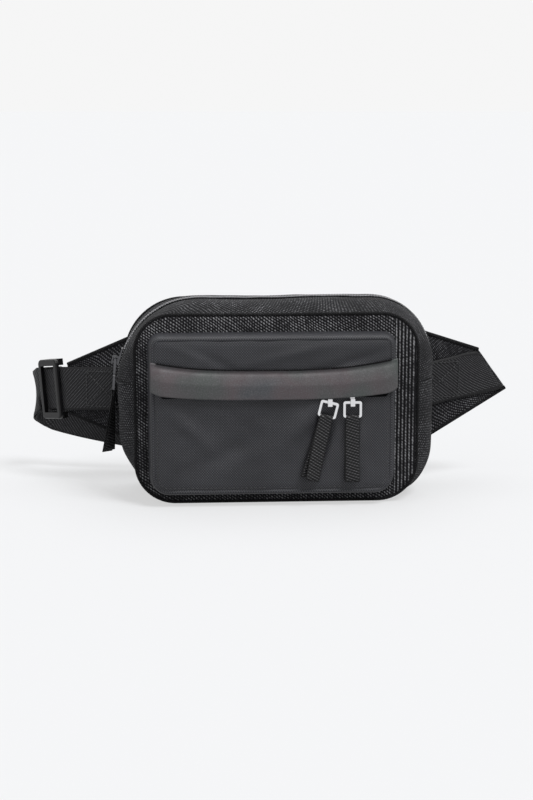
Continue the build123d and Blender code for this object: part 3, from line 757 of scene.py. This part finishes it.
def edge_x(z, side):
    """Left or right edge of the pocket's face at one height."""
    shape = POCKET_FACE
    edge = shape.left if side < 0 else shape.right
    for centre, r, sign in ((shape.bottom + shape.low_left, shape.low_left, -1),
                            (shape.top - shape.corner_left, shape.corner_left, 1)):
        rise = (z - centre) * sign
        if rise > 0:
            edge -= side * (r - math.sqrt(max(r * r - rise * rise, 0)))
    return edge


def pocket_panel(name, node, low, high, steps):
    rows = []
    for j in range(steps + 1):
        row = []
        t = j / steps
        ease = 0.5 - 0.5 * math.cos(math.pi * t)
        for i in range(141):
            nominal = low + (high - low) * ease
            left, right = edge_x(nominal, -1), edge_x(nominal, 1)
            x = left + (right - left) * (0.5 - 0.5 * math.cos(math.pi * i / 140))
            upper = high + (zip_lift(x) if high == ZIP_LOW else 0)
            lower = low + (zip_lift(x) if low == ZIP_HIGH else 0)
            z = lower + (upper - lower) * ease
            row.append(at(x, pocket_depth(x, z), z))
        rows.append(row)
    obj = grid(name, rows, POCKET_CLOTH, thickness=POCKET_CLOTH_THICK)
    flat_uvs(obj)
    attach(obj, "bag", "pocket_fabric", node)


# The pocket's side wall, as inset and y, from the front panel out and rolled in behind the face.
POCKET_WALL = ((0, -40.2), (0.3, -43), (0.7, -46), (1.2, -49), (1.8, -51.2),
               (2.2, -52.3), (2.6, -52.9), (3.05, -53.2), (4.4, -52.7))


def make_pocket():
    rows = []
    for inset, y in POCKET_WALL:
        row = []
        for p in whole_ring(POCKET, inset):
            uneven = ripple((p.x, y, p.y), 16, 0.4, 3.0)
            row.append(at(p.x, y + uneven, p.y))
        rows.append(row)
    obj = grid("cloth_pocket_gusset", rows, POCKET_CLOTH, loop=True, thickness=POCKET_CLOTH_THICK)
    attach(obj, "bag", "pocket_fabric", "pocket_gusset")
    pocket_panel("cloth_pocket_lower", "pocket_lower_panel", POCKET_FACE.bottom, ZIP_LOW, 70)
    pocket_panel("cloth_pocket_upper", "pocket_upper_panel", ZIP_HIGH, POCKET_FACE.top, 34)
    seam = [at(p.x, -40.6, p.y) for p in whole_ring(POCKET, -0.5)]
    obj = tube("cord_pocket_seam", seam, 0.8 * MM, PIPE, 8)
    attach(obj, "bag", "piping")
    near = [at(p.x, pocket_depth(p.x, p.y) - 0.1, p.y) for p in whole_ring(POCKET_FACE, 3.2)]
    low = [p for p in near if p.z < 78 * MM]
    left = [p for p in low if p.x < 0]
    right = [p for p in low if p.x >= 0]
    stitches("stitch_pocket", [sorted(right, key=lambda p: math.atan2(p.z - 0.06, p.x)),
                               sorted(left, key=lambda p: math.atan2(p.z - 0.06, -p.x))],
             "bag", lambda p: (0, -1, 0), "pocket_fabric")


def make_pocket_zip():
    for side in (-1, 1):
        rows = []
        for k in range(3):
            z = POCKET_ZIP + side * (1.0 + 4.2 * k / 2)
            rows.append([at(x, POCKET_Y + 0.6, z + zip_lift(x)) for x in range(-90, 88, 3)])
        if side < 0:
            rows.reverse()
        name = "pocket_tape_low" if side < 0 else "pocket_tape_high"
        obj = grid(name, rows, TAPE, thickness=0.6 * MM, offset=0.0)
        attach(obj, "bag", "zip_tape", *(["pocket_zip_tape"] if side < 0 else []))
    points, faces = [], []
    for i in range(118):
        x = -87 + i * 1.46
        side = 1 if i % 2 else -1
        centre = at(x, POCKET_Y + 0.5, POCKET_ZIP + zip_lift(x) + side * 0.8)
        add_pill(points, faces, centre, Vector((1, 0, 0)), Vector((0, 0, 1)), Vector((0, 1, 0)),
                 0.52 * MM, 1.5 * MM, 0.8 * MM)
    obj = new_object("pocket_teeth", points, faces, COIL)
    attach(obj, "bag", "zip_coil", "pocket_zip_teeth", "pocket_zip_stops")


BAND_LEFT = -93
BAND_RIGHT = 92
BAND_TOP = 105.5              # at the middle of the pocket, before lift() is added
BAND_LOW = 83.5


def make_band():
    """Cover over the pocket's zip: sewn along its top, hanging free below."""
    rows = []
    for j in range(25):
        t = j / 24
        row = []
        for i in range(161):
            x = BAND_LEFT + (BAND_RIGHT - BAND_LEFT) * i / 160
            end = min(min(x - BAND_LEFT, BAND_RIGHT - x) / 9, 1.0)
            end = end * (2 - end)
            out = 0.9 + 4.0 * min(max((t - 0.12) / 0.4, 0.0), 1.0) ** 0.7 * (0.35 + 0.65 * end)
            out += ripple((x, 0, t * 12), 20, 0.45, 2.0) * t
            low = BAND_LOW + 2.5 * (1 - end)
            z = BAND_TOP + (low - BAND_TOP) * t + lift(x) * (1 - 0.35 * t)
            top_y = min(pocket_depth(x, BAND_TOP + lift(x)), POCKET_Y - 0.3 * end)
            row.append(at(x, top_y * (1 - t) + POCKET_Y * t - out, z))
        rows.append(row)
    obj = grid("film_band", rows, BAND_FILM, thickness=0.9 * MM, offset=1.0)
    attach(obj, "bag", "reflective_band", "storm_band")
    crease_line = [rows[0][i] + Vector((0, -0.6, 0.4)) * MM for i in range(4, 157)]
    obj = tube("fold_band_top", crease_line, 0.55 * MM, PIPE, 8, closed=False)
    attach(obj, "bag", "piping")


# ---------------------------------------------------------------- belt wings
WING_ROOT = {-1: Vector((-115.22, WING_Y, 0)), 1: Vector((121.61, WING_Y, 0))}
SWEEP = math.radians(18)
# Distance from the root and height of the low root, high root, high tip and low tip.
WING_EDGE = {
    -1: ((0, 39.6), (0, 118), (46.5, 95.5), (46.5, 57)),
    1: ((0, 33), (0, 123), (52.5, 104.5), (78, 72)),
}
WING_NAME = {-1: "left", 1: "right"}


def wing_axes(side):
    along = Vector((side * math.cos(SWEEP), math.sin(SWEEP), 0))
    outward = Vector((side * math.sin(SWEEP), -math.cos(SWEEP), 0))
    return along, outward


def on_wing(side, distance, height, rise):
    along, outward = wing_axes(side)
    return WING_ROOT[side] + along * distance + outward * rise + Vector((0, 0, height))


def root_reach(side, height):
    """How far the bag's rounded side falls back from the wing's root at one height."""
    share = (WING_Y - TAPE_HALF) / (REAR_Y - TAPE_HALF)
    shape = Outline(*(a + (b - a) * share for a, b in zip(MIDDLE, REAR)))
    high_r = shape.corner_left if side < 0 else shape.corner_right
    low_r = shape.low_left if side < 0 else shape.low_right
    rise = max(height - (shape.top - high_r), 0)
    drop = max(shape.bottom + low_r - height, 0)
    return high_r - math.sqrt(high_r ** 2 - rise ** 2) + low_r - math.sqrt(low_r ** 2 - drop ** 2)


def make_wing(side):
    low_root, high_root, high_tip, low_tip = WING_EDGE[side]
    rows = []
    for j in range(41):
        v = j / 40
        row = []
        for i in range(41):
            u = i / 40
            foot = low_root[1] + (high_root[1] - low_root[1]) * v
            tip_s = low_tip[0] + (high_tip[0] - low_tip[0]) * v
            tip_h = low_tip[1] + (high_tip[1] - low_tip[1]) * v
            s = -root_reach(side, foot) * (1 - u) + tip_s * u
            h = foot + (tip_h - foot) * u
            wave = ripple((s, side * 40, h), 22, 0.7, 4.0) * math.sin(math.pi * v) * u
            row.append(on_wing(side, s, h, wave - 0.3) * MM)
        rows.append(row)
    if side < 0:
        rows.reverse()
    obj = grid(f"cloth_wing_{WING_NAME[side]}", rows, WING, thickness=2.2 * MM)
    attach(obj, "bag", "shell_fabric", f"{WING_NAME[side]}_wing")
    high_root = (-root_reach(side, high_root[1]), high_root[1])
    low_root = (-root_reach(side, low_root[1]), low_root[1])
    for index, (a, b) in enumerate(((high_root, high_tip), (low_tip, low_root))):
        path = [on_wing(side, a[0] + (b[0] - a[0]) * k / 20, a[1] + (b[1] - a[1]) * k / 20, -1.2) * MM
                for k in range(21)]
        edge = tube(f"binding_{WING_NAME[side]}_{index}", path, 1.7 * MM, PIPE, 10, closed=False)
        attach(edge, "bag", "piping")


# ---------------------------------------------------------------- webbing
WEB = 35
Section = namedtuple("Section", "centre up side width")


def sections_along(points, shift, turn=1):
    """Webbing on edge along points, shifted to the inside of its turn."""
    result = []
    for i, point in enumerate(points):
        before, after = points[max(i - 1, 0)], points[min(i + 1, len(points) - 1)]
        heading = (after - before).normalized()
        side = heading.cross(Vector((0, 0, turn))).normalized()
        up = side.cross(heading) * turn
        result.append(Section(point + side * shift, up, side, WEB))
    return result


def spline(a, b, c, d, t):
    """Centripetal-like Catmull-Rom point, with tangents held to the span's length."""
    span = (c - b).length
    m1 = (c - a).normalized() * span if (c - a).length else c - b
    m2 = (d - b).normalized() * span if (d - b).length else c - b
    return ((2 * t ** 3 - 3 * t ** 2 + 1) * b + (t ** 3 - 2 * t ** 2 + t) * m1
            + (-2 * t ** 3 + 3 * t ** 2) * c + (t ** 3 - t ** 2) * m2)


def smooth_sections(sections, spacing=2.5):
    result = []
    for i in range(len(sections) - 1):
        group = [sections[k] for k in (max(i - 1, 0), i, i + 1, min(i + 2, len(sections) - 1))]
        steps = max(int((group[2].centre - group[1].centre).length / spacing), 1)
        for k in range(steps):
            t = k / steps
            centre = spline(*[g.centre for g in group], t)
            up = group[1].up.lerp(group[2].up, t).normalized()
            side = group[1].side.lerp(group[2].side, t).normalized()
            width = group[1].width + (group[2].width - group[1].width) * t
            result.append(Section(centre, up, side, width))
    result.append(sections[-1])
    return result


def web_strap(name, sections, material, thickness=WEB_THICKNESS, cup=0.4, across=16):
    """Closed strap with rounded edges; u runs along it and v across from its middle."""
    rings = []
    for s in sections:
        ring = []
        for face in (1, -1):
            for k in range(across + 1):
                v = (k / across * 2 - 1) * face
                near_edge = max(abs(v) - 0.93, 0) / 0.07
                half = thickness / 2 * math.sqrt(max(1 - near_edge ** 2, 0.12))
                bow = cup * (1 - v * v)
                across_web = v * s.width / 2
                ring.append((s.centre + s.up * across_web + s.side * (face * half + bow), across_web))
        rings.append(ring)
    count = len(rings[0])
    points = [p * MM for ring in rings for p, v in ring]
    faces, uvs = [], []
    run = 0.0
    for r in range(len(rings) - 1):
        step = (sections[r + 1].centre - sections[r].centre).length * MM
        for k in range(count):
            n = (k + 1) % count
            faces.append((r * count + k, (r + 1) * count + k, (r + 1) * count + n, r * count + n))
            va, vb = rings[r][k][1] * MM, rings[r][n][1] * MM
            uvs += [(run, va), (run + step, va), (run + step, vb), (run, vb)]
        run += step
    for ring_start, order in ((0, 1), ((len(rings) - 1) * count, -1)):
        cap = [ring_start + k for k in range(count)][::order]
        faces.append(tuple(cap))
        uvs += [(0, 0)] * count
    return new_object(name, points, faces, material, uvs)


RISE = WEB_THICKNESS / 2 + 0.05   # from the wing's face to the webbing's middle
HEADING = math.radians(126)       # the tri-glide's run, seen from above
DROP = math.radians(8)
GLIDE_ALONG = Vector((math.cos(HEADING) * math.cos(DROP), math.sin(HEADING) * math.cos(DROP),
                      -math.sin(DROP)))
GLIDE_SIDE = GLIDE_ALONG.cross(Vector((0, 0, 1))).normalized()
WING_TIP = on_wing(-1, 47.5, 76.3, RISE)
GLIDE_CENTRE = WING_TIP + GLIDE_ALONG * 19.5
RUN_END = 22                      # where the belt turns back, past the tri-glide's middle
TURN_RADIUS = 14
TURN_DEGREES = 134
TURN_DROP = 21
LAYER_GAP = 0.7
BUCKLE_Y = 75.5
BUCKLE_Z = 24
BUCKLE_END = 28                   # the buckle's end bars, from x = 0
WRAP_Y = 2.55                     # from the buckle's middle to the webbing round its bar
WRAP_X = 4.45
FOLD_WIDTH = 40                   # the webbing where it is folded round the right wing's edge


def left_route():
    run = [on_wing(-1, 6, 78, RISE), on_wing(-1, 26.25, 77.2, RISE), WING_TIP,
           WING_TIP + GLIDE_ALONG * 2.5, GLIDE_CENTRE + GLIDE_ALONG * RUN_END]
    centre = run[-1] + GLIDE_SIDE * TURN_RADIUS
    turn = []
    for step in range(1, 15):
        share = step / 14
        a = HEADING - math.radians(TURN_DEGREES * share)
        turn.append(Vector((centre.x - TURN_RADIUS * math.sin(a), centre.y + TURN_RADIUS * math.cos(a),
                            run[-1].z - TURN_DROP * share)))
    back = [Vector((-150, 92.2, 44.5)), Vector((-125, 88.8, 39.5)), Vector((-85, 84, 32)),
            Vector((-50, 80, 25.5))]
    return run, turn, back


def wrap_route(bar_x, side):
    """Round a buckle's end bar, whose outer edge is at bar_x; side is -1 left, 1 right."""
    points = [(bar_x + side * 4, 1), (bar_x - side * 1.7, 1), (bar_x - side * WRAP_X, 0.75),
              (bar_x - side * WRAP_X, -0.75), (bar_x - side * 1.7, -1)]
    return [Vector((x, BUCKLE_Y + WRAP_Y * y, BUCKLE_Z)) for x, y in points]


def make_left_webbing():
    run, turn, back = left_route()
    wrap = wrap_route(-BUCKLE_END, -1) + [Vector((-29, BUCKLE_Y - WRAP_Y, BUCKLE_Z))]
    sections = smooth_sections(sections_along(run + turn + back + wrap, 0))
    obj = web_strap("webbing_left", sections, WEBBING)
    attach(obj, "bag", "webbing", "left_webbing")
    start = GLIDE_CENTRE + GLIDE_ALONG * 15
    path = [start, run[-1]] + turn + back
    sections = sections_along(path, WEB_THICKNESS + LAYER_GAP)
    end = Vector((-29.3, BUCKLE_Y - WRAP_Y, BUCKLE_Z))
    sections.append(Section(end, Vector((0, 0, 1)), Vector((0, -1, 0)), WEB))
    obj = web_strap("webbing_left_return", smooth_sections(sections), WEBBING)
    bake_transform(obj)
    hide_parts("left_webbing_return")


def make_right_webbing():
    along, outward = wing_axes(1)
    top, low = WING_EDGE[1][2], WING_EDGE[1][3]
    axis = (along * (top[0] - low[0]) + Vector((0, 0, top[1] - low[1]))).normalized()
    back = outward * -1
    front_line = on_wing(1, (top[0] + low[0]) / 2 - 1, (top[1] + low[1]) / 2, RISE)
    across = axis.cross(back).normalized()
    start = on_wing(1, 6, 79, RISE)
    heading = (front_line - start).normalized()
    up = heading.cross(back)
    out = front_line + across * 1.5
    sections = [Section(start, up, back, WEB), Section((start + front_line) / 2, up, back, WEB),
                Section(out, axis, back, FOLD_WIDTH)]
    for k in range(1, 8):
        a = math.pi * k / 8
        side = back * math.cos(a) - across * math.sin(a)
        centre = out + across * (3.2 * math.sin(a)) + back * (3.2 * (1 - math.cos(a)))
        sections.append(Section(centre, axis, side, FOLD_WIDTH))
    last = Section(out + back * 6.4, axis, back * -1, FOLD_WIDTH)
    sections.append(last)
    route = [last.centre, Vector((150, 62, 76)), Vector((120, 70, 64)), Vector((85, 75, 48)),
             Vector((60, BUCKLE_Y + 1, 32))]
    route += wrap_route(BUCKLE_END, 1) + [Vector((36, BUCKLE_Y - WRAP_Y, BUCKLE_Z))]
    sections += sections_along(route, 0, -1)[1:]
    obj = web_strap("webbing_right", smooth_sections(sections), WEBBING)
    attach(obj, "bag", "webbing", "right_webbing")


def make_wing_stitches():
    """A box with a cross in it, sewn through the webbing on each wing."""
    for side, centre, height, reach in ((-1, 16, 77.4, 14), (1, 18, 82, 16)):
        corners = [(-reach, 14), (reach, 14), (reach, -14), (-reach, -14)]
        box = []
        for start, end in ((0, 1), (1, 2), (2, 3), (3, 0), (3, 1), (0, 2)):
            a, b = Vector(corners[start]), Vector(corners[end])
            line = [a.lerp(b, k / 8) for k in range(9)]
            box.append([on_wing(side, centre + q.x, height + q.y, 2.0) * MM for q in line])
        outward = wing_axes(side)[1]
        stitches(f"stitch_wing_{WING_NAME[side]}", box, "bag", lambda p, o=outward: o, "webbing",
                 2.4, 0.9, 0.24)


# ---------------------------------------------------------------- ribbon pulls
def ribbon_hinge(joint):
    """Where a ribbon's loop turns, in millimetres, and the direction of the bar in it."""
    hinge = next(j for j in frame["joints"] if j["name"] == joint)
    return Vector(hinge["pos_m"]) / MM, -Vector(hinge["axis"])


def make_ribbon(name, node, body, pivot, bar, down, splay, twist, width=11, length=50):
    """Ribbon looped through a pull's low bar: two plies that part a little towards their ends.

    splay holds, for each ply, how far its end stands off and how far it slips sideways.
    """
    out = bar.cross(down).normalized()
    thick = 0.8
    loop = 1.5
    path = []
    for k in range(25):
        t = k / 24
        path.append((length - (length - 4.0) * t, -(0.55 + splay[0] * (1 - t) ** 1.6),
                     splay[1] * (1 - t) ** 1.8, t))
    for k in range(1, 12):
        a = math.pi * k / 12
        path.append((1.2 - loop * math.sin(a) * 1.15 - 0.2, -loop * math.cos(a), 0, 1))
    for k in range(25):
        t = 1 - k / 24
        path.append((length - (length - 4.0) * t - 1.0, 0.55 + splay[2] * (1 - t) ** 1.6,
                     splay[3] * (1 - t) ** 1.8, t))
    sections = []
    for i, (fall, rise, slide, t) in enumerate(path):
        before, after = path[max(i - 1, 0)], path[min(i + 1, len(path) - 1)]
        heading = (down * (after[0] - before[0]) + out * (after[1] - before[1])).normalized()
        spin = Matrix.Rotation(twist * (1 - t), 3, down)
        up = spin @ bar
        side = up.cross(heading).normalized()
        centre = pivot + down * fall + out * rise + bar * slide
        spread = min(max((fall - 3) / 6, 0.0), 1.0)
        sections.append(Section(centre, up, side, width - 1.2 * (1 - spread)))
    obj = web_strap(name, sections, RIBBON, thick, 0.15, 10)
    attach(obj, body, "ribbon", node)


def make_ribbons():
    for side, splay, twist in (("right", (0.9, 0.3, -0.2, -0.4), 0.05),
                               ("left", (1.8, 1.6, -0.5, -2.4), -0.3)):
        pivot, bar = ribbon_hinge(f"{side}_ribbon_swing")
        make_ribbon(f"ribbon_{side}", f"pocket_ribbon_{side}", f"{side}_pocket_ribbon", pivot, bar,
                    Vector((0, 1, 0)).cross(bar), splay, twist)
    lean = math.radians(4)
    pivot, bar = ribbon_hinge("main_ribbon_swing")
    make_ribbon("ribbon_main", "main_pull_ribbon", "main_zip_ribbon", pivot, bar,
                Vector((-math.sin(lean), 0, -math.cos(lean))), (1.6, 0.6, -0.8, -1.0), 0.75)


# ---------------------------------------------------------------- padded back
def make_back_padding():
    low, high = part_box("back_padding")
    low, high = Vector(low) / MM, Vector(high) / MM
    rows = []
    centre = Vector(((low.x + high.x) / 2, (low.z + high.z) / 2))
    shape = Outline(low.x, high.x, low.z, high.z, 28, 28, 34, 26)
    ring = whole_ring(shape, 0, 20, 12)
    base = REAR_Y + SEAM_TUCK
    depth = high.y - base
    for i in range(36):
        s = 1 - i / 36
        row = []
        for p in ring:
            q = centre + (p - centre) * s
            rise = depth * (1 - s ** 5) ** 0.6
            for groove in (-34, 34):
                rise -= 2.2 * math.exp(-((q.x - groove - centre.x) / 3.0) ** 2) * min(1, (1 - s) * 6)
            rise -= 0.8 * math.exp(-((q.y - centre.y) / 2.6) ** 2) * min(1, (1 - s) * 6)
            row.append(at(q.x, base + max(rise, 0.05), q.y))
        rows.append(list(reversed(row)))
    bottom = [Vector((p.x, base * MM, p.z)) for p in rows[0]]
    rows.insert(0, [Vector((centre.x * MM + (p.x - centre.x * MM) * 0.3, base * MM,
                            centre.y * MM + (p.z - centre.y * MM) * 0.3)) for p in bottom])
    obj = grid("pad_back", rows, BACK_MESH, loop=True, cap=True)
    close_first(obj, len(rows[0]))
    flat_uvs(obj)
    attach(obj, "bag", "back_mesh", "back_padding")
    edge = [at(p.x, base + 0.9, p.y) for p in whole_ring(shape, 0.2, 20, 12)]
    bound = tube("binding_back_pad", edge, 1.3 * MM, PIPE, 8)
    attach(bound, "bag", "piping")


def close_first(obj, count):
    """Close the hole inside a grid's first ring."""
    work = bmesh.new()
    work.from_mesh(obj.data)
    work.verts.ensure_lookup_table()
    work.faces.new([work.verts[k] for k in reversed(range(count))])
    work.to_mesh(obj.data)
    work.free()


# ---------------------------------------------------------------- hard parts
def finish_nodes():
    """Materials for the pieces that stay as the frame has them."""
    finishes = {
        "main_slider": DARK_METAL, "main_pull_ring": DARK_METAL,
        "pocket_slider_left": BRIGHT, "pocket_slider_right": BRIGHT,
        "pocket_ring_left": BRIGHT, "pocket_ring_right": BRIGHT,
        "tri_glide": PLASTIC, "buckle_socket": PLASTIC, "buckle_plug": PLASTIC,
        "buckle_prong_upper": PLASTIC, "buckle_prong_lower": PLASTIC,
        "main_zip_stops": DARK_METAL, "zip_end_tabs": WING, "main_lining": LINING,
        "strap_end_loop": WEBBING,
    }
    for name, material in finishes.items():
        data = frame["nodes"][name].data
        data.materials.clear()
        data.materials.append(material)


# ---------------------------------------------------------------- stage
def seen_rays(tree):
    """1 for rays from the camera, or by way of metal or clear things, and 0 for the rest."""
    path = tree.nodes.new("ShaderNodeLightPath")
    seen = path.outputs["Is Camera Ray"]
    for kind in ("Is Glossy Ray", "Is Transmission Ray"):
        either = tree.nodes.new("ShaderNodeMath")
        either.operation = "MAXIMUM"
        tree.links.new(seen, either.inputs[0])
        tree.links.new(path.outputs[kind], either.inputs[1])
        seen = either.outputs[0]
    return seen


def make_stage():
    """Pale floor and surroundings: bright to look at, plain in the light they give."""
    white = Graph("floor_white")
    tree = white.tree
    tree.nodes.remove(white.shader)
    diffuse = tree.nodes.new("ShaderNodeBsdfDiffuse")
    diffuse.inputs["Color"].default_value = (0.27, 0.275, 0.285, 1)
    glow = tree.nodes.new("ShaderNodeEmission")
    white.link(white.times(seen_rays(tree), FLOOR_GLOW), glow.inputs["Strength"])
    both = tree.nodes.new("ShaderNodeAddShader")
    white.link(diffuse.outputs[0], both.inputs[0])
    white.link(glow.outputs[0], both.inputs[1])
    white.link(both.outputs[0], white.output.inputs[0])
    corners = [(-60, -60, 0), (60, -60, 0), (60, 90, 0), (-60, 90, 0)]
    floor = new_object("studio_floor", corners, [(0, 1, 2, 3)], white.material, smooth=False)

    world = bpy.data.worlds.new("studio")
    world.use_nodes = True
    bpy.context.scene.world = world
    tree = world.node_tree
    sky = tree.nodes["Background"]
    sky.inputs["Color"].default_value = (1, 1, 1, 1)
    level = tree.nodes.new("ShaderNodeMapRange")
    level.inputs["To Min"].default_value = WORLD_LIGHT
    level.inputs["To Max"].default_value = BACKDROP
    tree.links.new(seen_rays(tree), level.inputs["Value"])
    tree.links.new(level.outputs[0], sky.inputs["Strength"])

    for lamp in LAMPS:
        data = bpy.data.lights.new(lamp.name, "SUN")
        data.angle = math.radians(lamp.softness)
        data.energy = lamp.strength
        sun = bpy.data.objects.new(lamp.name, data)
        sun.rotation_euler = Vector(lamp.towards).to_track_quat("Z", "Y").to_euler()
        bpy.context.collection.objects.link(sun)


def make_camera():
    data = bpy.data.cameras.new("view")
    data.lens = 75
    data.sensor_width = 36
    camera = bpy.data.objects.new("view", data)
    level = math.cos(VIEW_RISE)
    away = Vector((-math.sin(VIEW_TURN) * level, -math.cos(VIEW_TURN) * level, math.sin(VIEW_RISE)))
    camera.location = (VIEW_AIM + away * VIEW_DISTANCE) * MM
    camera.rotation_euler = (-away).to_track_quat("-Z", "Y").to_euler()
    bpy.context.collection.objects.link(camera)
    bpy.context.scene.camera = camera
    bpy.context.scene.view_settings.view_transform = "Standard"


make_camera()
make_stage()
finish_nodes()
make_gussets()
make_panel("cloth_front", FRONT, FRONT_Y, -1, "front_panel", 0.8, FRONT_SHELL)
make_panel("cloth_back", REAR, REAR_Y, 1, "back_panel", 0.2, SHELL)
make_piping()
make_main_zip()
make_pocket()
make_pocket_zip()
make_band()
for wing_side in (-1, 1):
    make_wing(wing_side)
make_left_webbing()
make_right_webbing()
make_wing_stitches()
make_ribbons()
make_back_padding()
